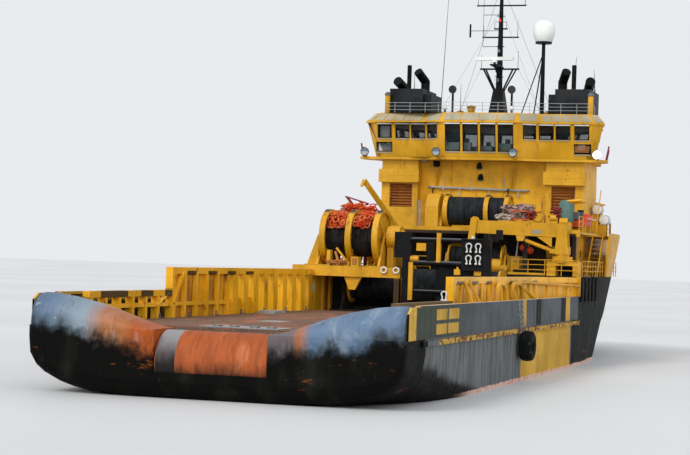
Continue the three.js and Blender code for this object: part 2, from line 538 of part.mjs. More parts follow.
function makeDeckhouse() {
  const z0 = FORE_DECK_Z + SEAT;
  const under = BOAT_DECK_Z - 0.14;
  add("deckhouse_lower", box([51.5, 66.4], [-7.3, 7.3], [z0, under - SEAT]), SHIP_YELLOW);

  const deckEdge = [[45, 8.7], [57.4, 8.7], [61.5, 8.3], [67.2, 7.3]];
  const plate = planProfile(bothSides(deckEdge), under, BOAT_DECK_Z);
  const wells = [1, -1].map((side) => {
    const across = ordered(side * (STAIRS.y0 - 0.05), side * 9);
    return box([STAIRS.s0 - 0.3, STAIRS.s1 + 0.05], across, [under - 1, 9.5]);
  });
  const posts = [8.3, 4.4, -4.95, -8.3].map((y) =>
    box([45.2, 45.46], [y - 0.13, y + 0.13], [z0, BOAT_DECK_Z - 0.05]));
  const sill = box([44.95, 45.1], [-8.7, 8.7], [under - 0.2, BOAT_DECK_Z + 0.12]);
  add("boat_deck", join(cut(plate, wells), posts, sill), SHIP_YELLOW);

  const tiers = [
    // aft s, fore s, half-breadth, floor z, ceiling z
    [54, 65, 7, BOAT_DECK_Z + SEAT, OFFICER_DECK_Z],
    [54, 63.4, 6.7, OFFICER_DECK_Z - 0.05, BRIDGE_DECK_Z],
  ].map(([a, b, half, low, high]) => box([a, b], [-half, half], [low, high]));
  const walk = box([54.5, 65.6], [-7.1, 7.1], [OFFICER_DECK_Z - 0.12, OFFICER_DECK_Z]);
  const casings = [1, -1].map((side) => {
    const { aft, fore, y0, y1 } = CASING;
    const trunk = box([aft, fore], [y0, y1], [BOAT_DECK_Z + SEAT, BRIDGE_DECK_Z]);
    const recess = box([aft - 1, aft + 0.4], [5.15, 6.9], [10.5, 12.22]);
    const hood = box([aft - 0.4, aft + 0.5], [y0 - 0.15, y1 + 0.15], [12.3, 13.25]);
    const slats = LOUVRE_HEIGHTS.map((z) =>
      sideProfile([[aft + 0.1, z], [aft + 0.14, z], [aft + 0.5, z + 0.2], [aft + 0.46, z + 0.2]], 5.1, 6.95));
    return sided(join(cut(trunk, recess), hood, slats), side);
  });
  const slab = planProfile(bothSides(BRIDGE_SLAB), BRIDGE_DECK_Z - 0.18, BRIDGE_DECK_Z);
  const floods = FLOODLIGHTS.map(([s, y]) => join(
    rod([s - 0.35, y, 14.5], [s - 0.08, y, 14.5], 0.3, 12, 0.16),
    box([s - 0.14, s + 0.2], [y - 0.06, y + 0.06], [BRIDGE_DECK_Z - 0.1, 14.5]),
  ));
  add("deckhouse_upper", join(tiers, walk, casings, slab, floods), SHIP_YELLOW);
}

// Outline of the bridge deck, port half, from aft to forward.
const BRIDGE_SLAB = [
  [51.9, 2.9], [52.6, 4.2], [52.6, 8.3], [52.8, 9.15], [53.9, 9.05], [54.9, 8.3], [58, 7.9], [59.4, 7],
  [61.5, 4.4], [62.2, 1.6],
];

// Wheelhouse: a hollow shell whose walls lean out to the roof, with its windows cut.
const BRIDGE_PLAN = [
  // s and y at the eaves, share of the lean taken across the ship
  [51.6, 2.75, 0.3], [52.5, 4.35, 0.3], [52.5, 8.1, 0.8], [53.1, 8.75, 1], [54.9, 8.35, 1],
  [55.9, 7.95, 0.7], [58.5, 7.8, 0.6], [59.8, 6.9, 0.8], [61.6, 4.6, 0.7], [62.3, 1.6, 0.3],
];
const WALL = 0.14;
const LEAN = 0.62; // how far the eaves stand out over the bridge deck

function bridgeRing(inward, z, wall = 0) {
  const half = BRIDGE_PLAN.map(([s, y, share]) => [
    s < 54 ? s + inward * 0.75 + wall : s - inward - wall,
    y - inward * share - (y > 7.7 ? wall : wall * 0.3),
    z,
  ]);
  return [...half, ...half.slice().reverse().map(([s, y]) => [s, -y, z])];
}

function wallBand(wall, z0, z1) {
  const inwardAt = (z) => (LEAN * (EAVES_Z - z)) / (EAVES_Z - BRIDGE_DECK_Z);
  return loft([bridgeRing(inwardAt(z0), z0, wall), bridgeRing(inwardAt(z1), z1, wall)]);
}

function makeWheelhouse() {
  const z0 = BRIDGE_DECK_Z + SEAT;
  const floor = z0 + 0.12;
  const outer = wallBand(0, z0, EAVES_Z);
  const inner = wallBand(WALL, floor, EAVES_Z + 0.2);
  const [sill, head] = [15.6, 16.48];
  const aftWindow = (y, width, low = sill, high = head) =>
    box([51, 53.3], [y - width / 2, y + width / 2], [low, high]);
  const windows = [-1.95, -0.65, 0.65, 1.95].map((y) => aftWindow(y, 1.02, 14.65));
  for (const side of [1, -1]) {
    for (const y of [4.75, 5.95, 7.3]) windows.push(aftWindow(side * y, 0.95));
    windows.push(aftWindow(side * 7.35, 1.1, 14.6, 15.2));
    windows.push(aftWindow(side * 3.6, 0.75));
    for (const [s, length] of [[53.5, 0.8], [54.8, 0.85], [56.2, 0.95], [57.35, 0.95]]) {
      windows.push(box([s, s + length], ordered(side * 7.15, side * 9.6), [sill - 0.35, head]));
    }
    const corners = [
      // s, y, width, turn of the wall's normal
      [59.15, 7.35, 0.95, 0.97], [60.25, 6.3, 1, 0.66], [61.05, 5.25, 1, 0.66],
    ];
    for (const [s, y, width, turn] of corners) {
      windows.push(solidOf(
        new THREE.BoxGeometry(1.3, width, head - sill + 0.35).rotateZ(side * turn)
          .translate(s, side * y, (head + sill) / 2 - 0.17)));
    }
  }
  for (const y of [-2.8, -1.4, 0, 1.4, 2.8]) {
    windows.push(box([60.9, 63], [y - 0.55, y + 0.55], [sill - 0.35, head]));
  }
  add("wheelhouse", cut(outer, inner, windows), SHIP_YELLOW);

  const glassLow = 14.4;
  const glassOut = wallBand(WALL + 0.03, glassLow, EAVES_Z - 0.05);
  const glassIn = wallBand(WALL + 0.07, glassLow - 0.05, EAVES_Z);
  add("wheelhouse_glass", cut(glassOut, glassIn), DARK_GLASS);

  const desk = join(
    box([59, 60.2], [-4, 4], [floor + SEAT, 15.3]),
    box([53, 53.8], [-1.9, 1.9], [floor + SEAT, 15]),
    box([53.5, 59.2], [-0.35, 0.35], [floor + SEAT, floor + 0.1]),
  );
  add("bridge_consoles", desk, STRAKE_GREY);

  const crown = join(
    loft([
      bridgeRing(-0.12, EAVES_Z + SEAT), bridgeRing(-0.12, EAVES_Z + 0.1), bridgeRing(0.5, ROOF_TOP_Z),
    ]),
    [1, -1].map((side) => rod([54.2, side * 7.6, EAVES_Z + 0.35], [54.2, side * 7.6, 18.85], 0.2, 12)),
    SEARCHLIGHTS.map((y) => join(
      rod([54, y, ROOF_TOP_Z - 0.1], [54, y, 19.25], 0.06, 8),
      rod([53.88, y, 19.25], [54.25, y, 19.25], 0.27, 14, 0.14),
    )),
    VENTS.map(([s, y]) => rod([s, y, ROOF_TOP_Z - 0.1], [s, y, 18.1], 0.22, 10, 0.3)),
  );
  add("wheelhouse_roof", crown, SHIP_YELLOW);
}

const SEARCHLIGHTS = [2.57, -1.85]; // places across the roof
const VENTS = [[60, 3.4], [60, -3.4], [55.5, 1.5]]; // s, y of the roof ventilators

// Funnels on the wheelhouse roof
function makeFunnel() {
  const z0 = ROOF_TOP_Z + SEAT;
  return join(
    box([54.4, 58.4], [4.95, 7.5], [z0, 19.35]),
    box([54.8, 58], [4.4, 5.05], [z0, 19]),
    rod([55, 6.2, 19.2], [55, 6.2, 21.15], 0.17, 10),
    rod([56, 5.2, 19.2], [56, 5.2, 20.1], 0.34, 12),
    rod([56, 5.2, 20], [55.2, 5.6, 20.7], 0.34, 12),
    rod([57, 6.9, 19.2], [56.9, 6.95, 19.6], 0.36, 12),
    rod([56.95, 6.95, 19.5], [55.7, 7.3, 20.05], 0.36, 12),
  );
}

function makeMasts() {
  const z0 = ROOF_TOP_Z + SEAT;
  const s = 58;
  const scannerS = s - 1.8; // far enough aft for the scanner to turn clear of the mast
  const square = (half, across, z) => [
    [s - half, across, z], [s + half, across, z], [s + half, -across, z], [s - half, -across, z],
  ];
  const yards = [
    // z, half-span, half-thickness
    [21.2, 1.5, 0.06], [23.6, 1.4, 0.05], [26, 1.9, 0.05],
  ].map(([z, half, t]) => box([s - t, s + t], [-half, half], [z - t, z + t]));
  const fan = [[0.2, 1], [0.2, -1]].flatMap(([off, side]) => [
    bar([s - off, side * 0.2, 19.3], [s - 0.5, side * 1.15, 21.2], 0.09),
    bar([s + off, side * 0.2, 19.3], [s + 0.5, side * 1.15, 21.2], 0.09),
  ]);
  const mast = join(
    loft([square(0.85, 0.65, z0), square(0.4, 0.35, 19.7)]),
    rod([s, 0, 19.6], [s, 0, 28.6], 0.26, 12, 0.1),
    yards,
    fan,
    box([scannerS - 0.3, s + 0.1], [-0.3, 0.3], [21.26, 21.36]),
    bar([s, 0, 20.4], [scannerS, 0, 21.28], 0.12),
    rod([scannerS, 0, 21.3], [scannerS, 0, 21.5], 0.09, 12),
  );
  add("main_mast", mast, FRAME_BLACK);
  const scanner = join(
    turned([[0, 0], [0.22, 0], [0.22, 0.22], [0, 0.22]], [scannerS, 0, 21.5 + SEAT], "z", 16),
    box([scannerS - 0.15, scannerS + 0.15], [-1.4, 1.4], [21.66, 21.9]),
  );
  add("radar_scanner", scanner, WHITE);

  const [rs, ry] = [57, -3.5];
  const radomeMast = join(
    rod([rs, ry, z0], [rs, ry, 23.05], 0.18, 12, 0.13),
    rod([rs, ry, 22.98], [rs, ry, 23.1], 0.62, 18),
    [[55.6, -2.2], [58.3, -2.6]].map(([s1, y]) => bar([s1, y, z0 + 0.06], [rs, ry, 22.3], 0.07)),
  );
  add("radome_mast", radomeMast, FRAME_BLACK);
  const dome = turned(
    [[0, 0], [0.6, 0], [0.78, 0.45], [0.83, 0.9], [0.72, 1.3], [0.45, 1.56], [0, 1.66]],
    [rs, ry, 23.1 + SEAT], "z", 20,
  );
  add("radome", dome, WHITE);
}

// Storage reel on the boat deck, with its gear casing to port
function makeUpperReel() {
  add("upper_reel", drumSolid(UPPER_REEL), WIRE);
  const base = BOAT_DECK_Z + SEAT;
  const stands = [1.53, -3.4].map((y) =>
    standSolid(UPPER_REEL, y, base, { foot: 2.3, head: 0.35, top: 0.3, thick: 0.2 }));
  const { s, z } = UPPER_REEL;
  const casing = join(
    rod([s, 1.65, z], [s, 2.55, z], 1.22, 28), box([s - 1.22, s + 1.22], [1.65, 2.55], [base, z]));
  const bed = box([47.05, 49.35], [-3.55, 2.5], [base, base + 0.06]);
  add("upper_reel_stand", join(stands, bed, casing), SHIP_YELLOW);
}

// Crane
const CRANE = { s: 44.25, y: -7.7, slewZ: 6.9, footZ: 8.95, kneeY: -1.65, kneeZ: 9.15 };
const PEDESTAL = { s: [43.7, 44.8], legsY: [[-8.9, -8.5], [-7.35, -6.75]], beamZ: [6.58, 6.82] };
const RAM = { lowY: -7.05, lowZ: 7.5, highY: -4.85, highZ: 8.28 };
function makeCrane() {
  const { s, y, slewZ, footZ, kneeY, kneeZ } = CRANE;
  const legs = PEDESTAL.legsY.map((leg) => box(PEDESTAL.s, leg, [FORE_DECK_Z + SEAT, PEDESTAL.beamZ[1]]));
  const beam = box(PEDESTAL.s, [PEDESTAL.legsY[0][0], PEDESTAL.legsY[1][1]], PEDESTAL.beamZ);
  add("crane_pedestal", join(legs, beam, rod([s, y, slewZ - 0.15], [s, y, slewZ], 0.7, 20)), SHIP_YELLOW);
  const cheeks = [-1, 1].map((k) => join(
    crossProfile([[y - 0.4, 7.6], [y + 0.45, 7.6], [y + 0.28, footZ + 0.28], [y - 0.28, footZ + 0.28]],
      s + k * 0.4 - 0.08, s + k * 0.4 + 0.08),
    box([s + k * 0.4 - 0.08, s + k * 0.4 + 0.08], [y, RAM.lowY + 0.15], [7.35, 7.65]),
  ));
  add("crane_column", join(
    rod([s, y, slewZ + SEAT], [s, y, slewZ + 0.25], 0.68, 20),
    rod([s, y, slewZ + 0.2], [s, y, 7.7], 0.47, 16),
    box([s - 0.48, s + 0.48], [y - 0.45, y + 0.4], [7.3, 7.8]),
    cheeks,
    shaftRod([s - 0.45, y, footZ], [s + 0.45, y, footZ], 0.1),
    shaftRod([s - 0.45, RAM.lowY, RAM.lowZ], [s + 0.45, RAM.lowY, RAM.lowZ], 0.07),
  ), SHIP_YELLOW);
  const lugOutline = [[-5.2, 8.6], [-4.5, 8.6], [-4.65, 8.12], [-5.05, 8.12]];
  const lugs = [-1, 1].map((k) => crossProfile(lugOutline, s + k * 0.2 - 0.05, s + k * 0.2 + 0.05));
  const boom = join(
    crossProfile([[y - 0.3, footZ - 0.2], [y + 0.15, 8.42], [kneeY - 0.15, 8.58], [kneeY + 0.22, 8.9],
      [kneeY + 0.22, 9.35], [kneeY + 0.05, 9.45], [y + 0.6, 9.36], [y - 0.3, 9.3]],
    s - 0.28, s + 0.28),
    lugs,
  );
  const footBore = boreRod([s - 1, y, footZ], [s + 1, y, footZ], 0.1);
  const kneeBore = boreRod([s - 1, kneeY, kneeZ], [s + 1, kneeY, kneeZ], 0.08);
  add("crane_boom", cut(boom, footBore, kneeBore), SHIP_YELLOW);
  const arm = [
    [kneeY - 0.24, kneeZ + 0.15], [kneeY - 0.2, kneeZ + 0.42], [kneeY, kneeZ + 0.56],
    [kneeY + 0.2, kneeZ + 0.42], [kneeY + 0.24, kneeZ + 0.15], [kneeY + 0.5, 7], [kneeY + 0.12, 7],
  ];
  add("crane_jib", join(
    crossProfile(arm, s + 0.31, s + 0.39),
    crossProfile(arm, s - 0.39, s - 0.31),
    box([s - 0.35, s + 0.35], [kneeY + 0.15, kneeY + 0.45], [7, 7.4]),
    shaftRod([s - 0.36, kneeY, kneeZ], [s + 0.36, kneeY, kneeZ], 0.08),
  ), SHIP_YELLOW);

  // Luffing ram: a barrel hinged on the column and a rod that ends beside the boom's lugs.
  const along = (t) => [s, RAM.lowY + (RAM.highY - RAM.lowY) * t, RAM.lowZ + (RAM.highZ - RAM.lowZ) * t];
  const barrel = cut(
    join(rod(along(0.03), along(0.86), 0.13, 16),
      rod([s - 0.11, RAM.lowY, RAM.lowZ], [s + 0.11, RAM.lowY, RAM.lowZ], 0.17, 16)),
    boreRod([s - 1, RAM.lowY, RAM.lowZ], [s + 1, RAM.lowY, RAM.lowZ], 0.07),
    boreRod(along(0.1), along(0.9), 0.07),
  );
  add("crane_ram_barrel", barrel, SHIP_YELLOW);
  add("crane_ram_rod", join(
    shaftRod(along(0.12), along(0.97), 0.07),
    rod([s - 0.12, RAM.highY, RAM.highZ], [s + 0.12, RAM.highY, RAM.highZ], 0.13, 16),
  ), BARE_STEEL);
}

// Boats and rafts on the starboard side
function makeBoats() {
  const [s0, y, keel] = [46.9, -8.05, 9.1];
  const ring = (s, half, low, high) => [
    [s, y, high], [s, y + half, high], [s, y + half * 0.8, low + 0.3], [s, y, low],
    [s, y - half * 0.8, low + 0.3], [s, y - half, high],
  ];
  const boat = join(
    loft([
      ring(s0, 0.68, keel + 0.12, keel + 0.95), ring(s0 + 1.6, 0.8, keel, keel + 0.9),
      ring(s0 + 3.1, 0.66, keel + 0.05, keel + 1), ring(s0 + 4.3, 0.08, keel + 0.55, keel + 1.2),
    ]),
    box([s0 + 1.2, s0 + 2.2], [y - 0.3, y + 0.3], [keel + 0.5, keel + 1.35]),
  );
  add("rescue_boat", boat, BOAT_ORANGE);
  const base = BOAT_DECK_Z + SEAT;
  const cradles = [s0 + 0.7, s0 + 2.6].map((s) => cut(join(
    box([s, s + 0.14], [y - 0.6, y + 0.75], [base, keel + 0.3]),
    box([s, s + 0.14], [y + 0.7, y + 1.15], [base, base + 0.12]),
  ), boat.translate([0, 0, -SEAT])));
  const sill = box([s0 + 0.6, s0 + 2.9], [y + 0.95, y + 1.15], [base, base + 0.12]);
  const arm = [s0 + 0.9, s0 + 2.55].map((s) => join(
    bar([s, y + 1.05, base + 0.05], [s, y + 1.05, keel + 1.9], 0.18),
    bar([s, y + 1.05, keel + 1.85], [s, y - 0.2, keel + 1.95], 0.16)));
  const crossBar = rod([s0 + 0.9, y - 0.1, keel + 1.94], [s0 + 2.55, y - 0.1, keel + 1.94], 0.07, 10);
  add("rescue_davit", join(cradles, sill, arm, crossBar), SHIP_YELLOW);

  const rafts = [
    // name, y, z
    ["life_raft_inner", -7.98, 10.72], ["life_raft_outer", -8.5, 9.98],
  ];
  const raftS = 55.9;
  for (const [name, ry, z] of rafts) {
    add(name, turned([[0, 0], [0.28, 0], [0.36, 0.12], [0.36, 1.13], [0.28, 1.25], [0, 1.25]],
      [raftS, ry, z], "s", 18), WHITE);
  }
  const [high, low] = [10.36 - SEAT, 9.62 - SEAT];
  const cheek = [[-8.68, base], [-7.6, base], [-7.6, high], [-8.1, high], [-8.1, low], [-8.68, low]];
  add("raft_rack", join(
    crossProfile(cheek, raftS + 0.25, raftS + 0.33), crossProfile(cheek, raftS + 0.95, raftS + 1.03),
    box([raftS + 0.25, raftS + 1.03], [-7.85, -7.6], [base, base + 0.1]),
  ), SHIP_YELLOW);
}

// A flight of steps from the forecastle deck to the boat deck
function makeStairs() {
  const { s0, s1, y0, y1 } = STAIRS;
  const low = FORE_DECK_Z + SEAT;
  const side = [[s0, low], [s0 + 0.3, low], [s1, BOAT_DECK_Z - 0.1], [s1, BOAT_DECK_Z + 0.1],
    [s1 - 0.15, BOAT_DECK_Z + 0.1], [s0, low + 0.3]];
  const parts = [sideProfile(side, y0, y0 + 0.06), sideProfile(side, y1 - 0.06, y1)];
  for (let k = 1; k < STAIRS.steps; k++) {
    const s = s0 + 0.02 + (k / STAIRS.steps) * (s1 - s0 - 0.1);
    const z = low + (k / STAIRS.steps) * (BOAT_DECK_Z - low);
    parts.push(box([s, s + 0.24], [y0, y1], [z - 0.03, z]));
  }
  return join(parts);
}

// Foredeck
function makeForedeck() {
  const z0 = FORE_DECK_Z + SEAT;
  add("windlass", join(
    box([68, 69.6], [-1.9, 1.9], [z0, z0 + 0.3]),
    [-1.6, -0.5, 0.5, 1.6].map((y) => box([68.4, 69.2], [y - 0.1, y + 0.1], [z0, z0 + 1])),
    rod([68.8, -2.3, z0 + 0.75], [68.8, 2.3, z0 + 0.75], 0.12, 8),
    [-1.1, 1.1].map((y) => rod([68.8, y - 0.22, z0 + 0.75], [68.8, y + 0.22, z0 + 0.75], 0.45, 12)),
    [-2.1, 2.1].map((y) => rod([68.8, y - 0.2, z0 + 0.75], [68.8, y + 0.2, z0 + 0.75], 0.3, 12)),
    box([68.3, 69.3], [-0.35, 0.35], [z0, z0 + 1.15]),
  ), STRAKE_GREY);
}

// The shank lies in the hawse pipe and the flukes are cut to the plating that they rest on.
function makeAnchor(side, plating) {
  const crown = [71.35, 5.95, 4.12];
  const anchor = sided(join(
    rod([70.2, 4.3, 5.08], crown, 0.13, 10),
    rod([70.8, 6.25, 4.05], [71.9, 5.5, 4.15], 0.24, 10),
    bar([70.88, 6.2, 4.1], [70.6, 6.5, 5.35], 0.34),
    bar([71.82, 5.55, 4.15], [71.6, 5.85, 5.35], 0.34),
  ), side);
  return cut(anchor, plating.map((solid) => solid.translate([0, side * 2 * SEAT, 0])));
}

// Propulsion
function makePropeller() {
  const y = SHAFT.y;
  const hub = turned(
    [[0, -0.55], [0.18, -0.48], [0.3, -0.2], [0.32, 0.45], [0, 0.45]],
    [SHAFT.propS, y, SHAFT.propZ], "s", 18,
  );
  const blade = (angle) => {
    const shape = new THREE.Shape();
    shape.moveTo(-0.16, 0.15);
    shape.lineTo(-0.42, 0.75);
    shape.quadraticCurveTo(-0.42, 1.3, -0.1, 1.36);
    shape.lineTo(0.3, 1.34);
    shape.quadraticCurveTo(0.48, 0.95, 0.4, 0.6);
    shape.lineTo(0.16, 0.15);
    const g = new THREE.ExtrudeGeometry(shape, { depth: 0.07, bevelEnabled: false, curveSegments: 4 });
    g.translate(0, 0, -0.035).rotateY(Math.PI / 2 - 0.62);
    g.rotateX(Math.PI / 2 + angle);
    return solidOf(g.translate(SHAFT.propS, y, SHAFT.propZ));
  };
  const shaft = shaftRod([SHAFT.propS, y, SHAFT.propZ], [SHAFT.inner, y, SHAFT.propZ], SHAFT.radius);
  const blades = [0, 1, 2, 3].map((k) => blade((k * Math.PI) / 2));
  return join(hub, shaft, blades);
}

function makeRudder() {
  const { s, y, stock, stockTop, top, bottom } = RUDDER;
  const section = [
    [s + 0.62, y], [s + 0.42, y + 0.2], [s, y + 0.24], [s - 0.9, y + 0.12], [s - 1.55, y + 0.03],
    [s - 1.55, y - 0.03], [s - 0.9, y - 0.12], [s, y - 0.24], [s + 0.42, y - 0.2],
  ];
  return join(
    planProfile(section, bottom, top), shaftRod([s, y, top - 0.3], [s, y, stockTop], stock),
  );
}

const hull = makeHull();
const forecastle = makeForecastle();
for (const [word, side] of [["port", 1], ["starboard", -1]]) {
  add("stern_horn_" + word, sided(makeHorn(), side), QUARTER_STEEL);
  add("bulwark_" + word, sided(makeBulwark(), side), STRAKE_GREY);
  add("funnel_" + word, sided(makeFunnel(), side), FUNNEL_BLUE);
  add("stairs_" + word, sided(makeStairs(), side), SHIP_YELLOW);
  add("anchor_" + word, makeAnchor(side, [hull, forecastle]), FRAME_BLACK);
  add("propeller_" + word, sided(makePropeller(), side), BRONZE);
  add("rudder_" + word, sided(makeRudder(), side), HULL_BLACK);
}
makeDeck();
add("cargo_rail_port", makeCargoRail(WINCH_S), SHIP_YELLOW);
add("cargo_rail_starboard", mirrored(join(makeCargoRail(WINCH_S), makeRailWing())), SHIP_YELLOW);
makeRoller();
makeWinches();
makePlatform();
makeGantry();
makeDeckhouse();
makeWheelhouse();
makeMasts();
makeUpperReel();
makeCrane();
makeBoats();
makeForedeck();
add("side_fender", turned(
  [[0.32, 0], [0.75, 0], [0.85, 0.15], [0.85, 0.6], [0.75, 0.75], [0.32, 0.75], [0.32, 0]],
  [24.2, -9.12 - SEAT - 0.75, 2.02], "y", 20,
), RUBBER);

ship.position.set((-LENGTH / 2) * MODEL_MM_PER_METRE, 0, 0);
ship.scale.setScalar(MODEL_MM_PER_METRE);
const model = new THREE.Group();
model.add(ship);
export default model;
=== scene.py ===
"""Anchor-handling tug at half scale: finishes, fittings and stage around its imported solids.

Sizes and places in the piece functions are metres of the full-size ship: s forward from the stern,
y to port and z up from the waterline. Piece.finish turns them into the model's own metres.
"""

import math
import random

import bmesh
import bpy
from bpy.props import FloatProperty, FloatVectorProperty, IntProperty, PointerProperty
from mathutils import Matrix, Vector
from mathutils import noise as wave_noise


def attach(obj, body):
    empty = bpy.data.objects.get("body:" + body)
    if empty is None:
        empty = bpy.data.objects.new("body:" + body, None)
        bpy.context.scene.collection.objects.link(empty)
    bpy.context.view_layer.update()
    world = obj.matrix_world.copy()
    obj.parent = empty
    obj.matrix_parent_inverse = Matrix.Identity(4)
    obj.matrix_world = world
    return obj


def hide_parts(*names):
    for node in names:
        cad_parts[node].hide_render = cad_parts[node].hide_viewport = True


bl_info = {
    "name": "Anchor-handling tug",
    "version": (1, 0, 0),
    "blender": (4, 5, 0),
    "location": "View3D > Sidebar > Tug",
    "description": "Dresses a half-scale anchor-handling tug: paint, ropes, rails, lamps and fittings",
    "category": "Object",
}

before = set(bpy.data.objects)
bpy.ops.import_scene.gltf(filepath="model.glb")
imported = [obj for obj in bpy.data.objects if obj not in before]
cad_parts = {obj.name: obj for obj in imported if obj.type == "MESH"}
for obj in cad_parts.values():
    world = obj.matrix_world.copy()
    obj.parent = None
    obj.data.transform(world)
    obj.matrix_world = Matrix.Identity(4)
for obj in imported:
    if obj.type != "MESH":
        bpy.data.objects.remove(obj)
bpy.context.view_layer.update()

MODEL_SCALE = 0.5  # model metres for each metre of the ship
MIDSHIP = 38.0
DECK_Z = 3.05
PLATFORM_TOP = 6.07
FORE_DECK_Z = 5.85
BOAT_DECK_Z = 8.85
BRIDGE_DECK_Z = 14.15
EAVES_Z = 16.65
ROOF_Z = 17.4
ALONG, ACROSS, UP = (1, 0, 0), (0, 1, 0), (0, 0, 1)
SIDES = (("port", 1), ("starboard", -1))


def linear(colour):
    """Red, green and blue as Blender mixes them, from a paint's name or a code of the paint chart."""
    if not isinstance(colour, str):
        return tuple(colour)
    if not colour.startswith("#"):
        return tuple(getattr(bpy.context.scene.tug_paints, colour))
    parts = [int(colour[i:i + 2], 16) / 255 for i in (1, 3, 5)]
    return tuple(c / 12.92 if c <= 0.04045 else ((c + 0.055) / 1.055) ** 2.4 for c in parts)


def paint_property(name, description, code):
    return FloatVectorProperty(
        name=name, description=description, subtype="COLOR", size=3, min=0, max=1, default=linear(code))


def size_property(name, description, default):
    return FloatProperty(
        name=name, description=description, default=default, min=0.001, unit="LENGTH", subtype="DISTANCE")


class TugPaints(bpy.types.PropertyGroup):
    """Colours of the ship's paints and materials."""

    yellow: paint_property("Ship yellow", "Deckhouse, rails and winch frames", "#D39B0A")
    side_grey: paint_property("Side grey", "Weathered plating of the hull's sides", "#727677")
    tar: paint_property("Tar black", "Coating of the stern and the forecastle", "#050504")
    boot: paint_property("Boot top", "Antifouling, seen as a line above the water", "#C58478")
    antifouling: paint_property("Antifouling", "Bottom paint", "#7A3A2E")
    panel: paint_property("Side panel", "Painted panel amidships", "#CBA03A")
    strake: paint_property("Bulwark grey", "Outer face of the bulwark", "#4F565C")
    roller: paint_property("Stern orange", "Rusted primer on the stern roller", "#A65120")
    horn: paint_property("Horn steel", "Polished steel of the quarters", "#5D748F")
    deck: paint_property("Deck timber", "Stained planks", "#7C5C49")
    black: paint_property("Frame black", "Gantry, masts and winch ironwork", "#0C0D0F")
    funnel: paint_property("Funnel blue", "Funnel casings", "#10161B")
    orange: paint_property("Safety orange", "Boat, floats and lines", "#D2421C")
    white: paint_property("White", "Rafts, radome and scanner", "#E4E6E4")


class TugSizes(bpy.types.PropertyGroup):
    """Sizes of the repeated fittings, in metres of the full-size ship."""

    rail_height: size_property("Rail height", "Height of the open handrails", 1.05)
    rail_pitch: size_property("Stanchion pitch", "Spacing of the handrail stanchions", 1.1)
    rail_radius: size_property("Rail radius", "Radius of the handrail tube", 0.028)
    plank_width: size_property("Plank width", "Width of a deck plank", 0.27)
    rung_pitch: size_property("Rung pitch", "Spacing of the ladder rungs", 0.3)
    floor_size: size_property("Floor size", "Side of the floor in model metres", 900.0)
    seed: IntProperty(name="Seed", description="Seed of everything irregular", default=7, min=0)


def sizes():
    return bpy.context.scene.tug_sizes


# Node trees


class Value:
    """A socket of a node tree, used in ordinary arithmetic."""

    def __init__(self, graph, socket):
        self.graph, self.socket = graph, socket

    def math(self, operation, *others, clamp=False):
        settings = {"operation": operation, "use_clamp": clamp}
        return self.graph.value("ShaderNodeMath", settings, dict(enumerate((self,) + others)))

    def __add__(self, other):
        return self.math("ADD", other)

    __radd__ = __add__

    def __mul__(self, other):
        return self.math("MULTIPLY", other)

    __rmul__ = __mul__

    def __sub__(self, other):
        return self.math("SUBTRACT", other)

    def __rsub__(self, other):
        return self.graph.value("ShaderNodeMath", {"operation": "SUBTRACT"}, {0: other, 1: self})

    def __truediv__(self, other):
        return self.math("DIVIDE", other)

    def __abs__(self):
        return self.math("ABSOLUTE")

    def most(self, other):
        return self.math("MAXIMUM", other)

    def wave(self):
        return self.math("SINE")

    def part(self):
        return self.math("FRACT")

    def ramp(self, low, high):
        """0 below low and 1 above high, with a soft step between."""
        return self.graph.value("ShaderNodeMapRange", {"interpolation_type": "SMOOTHSTEP"},
                                {0: self, 1: low, 2: high, 3: 0.0, 4: 1.0})

    def within(self, low, high, soft=0.02):
        return self.ramp(low - soft, low + soft) * (1 - self.ramp(high - soft, high + soft))

    def bands(self, pairs, soft=0.04):
        """1 within any of some stretches that lie apart."""
        return sum(self.within(low, high, soft) for low, high in pairs)


class Graph:
    """A node tree that is filled one node at a time."""

    def __init__(self, tree):
        self.tree = tree

    def node(self, kind, settings=None, inputs=None):
        made = self.tree.nodes.new(kind)
        for name, setting in (settings or {}).items():
            if name == "stops":
                self.colour_stops(made.color_ramp, setting)
            else:
                setattr(made, name, setting)
        for key, given in (inputs or {}).items():
            if isinstance(given, Value):
                self.tree.links.new(given.socket, made.inputs[key])
            else:
                made.inputs[key].default_value = given
        return made

    def value(self, kind, settings=None, inputs=None, output=0):
        return Value(self, self.node(kind, settings, inputs).outputs[output])

    @staticmethod
    def colour_stops(ramp, stops):
        while len(ramp.elements) > 1:
            ramp.elements.remove(ramp.elements[-1])
        for k, (position, colour) in enumerate(stops):
            element = ramp.elements[0] if k == 0 else ramp.elements.new(position)
            element.position = position
            element.color = (*linear(colour), 1)


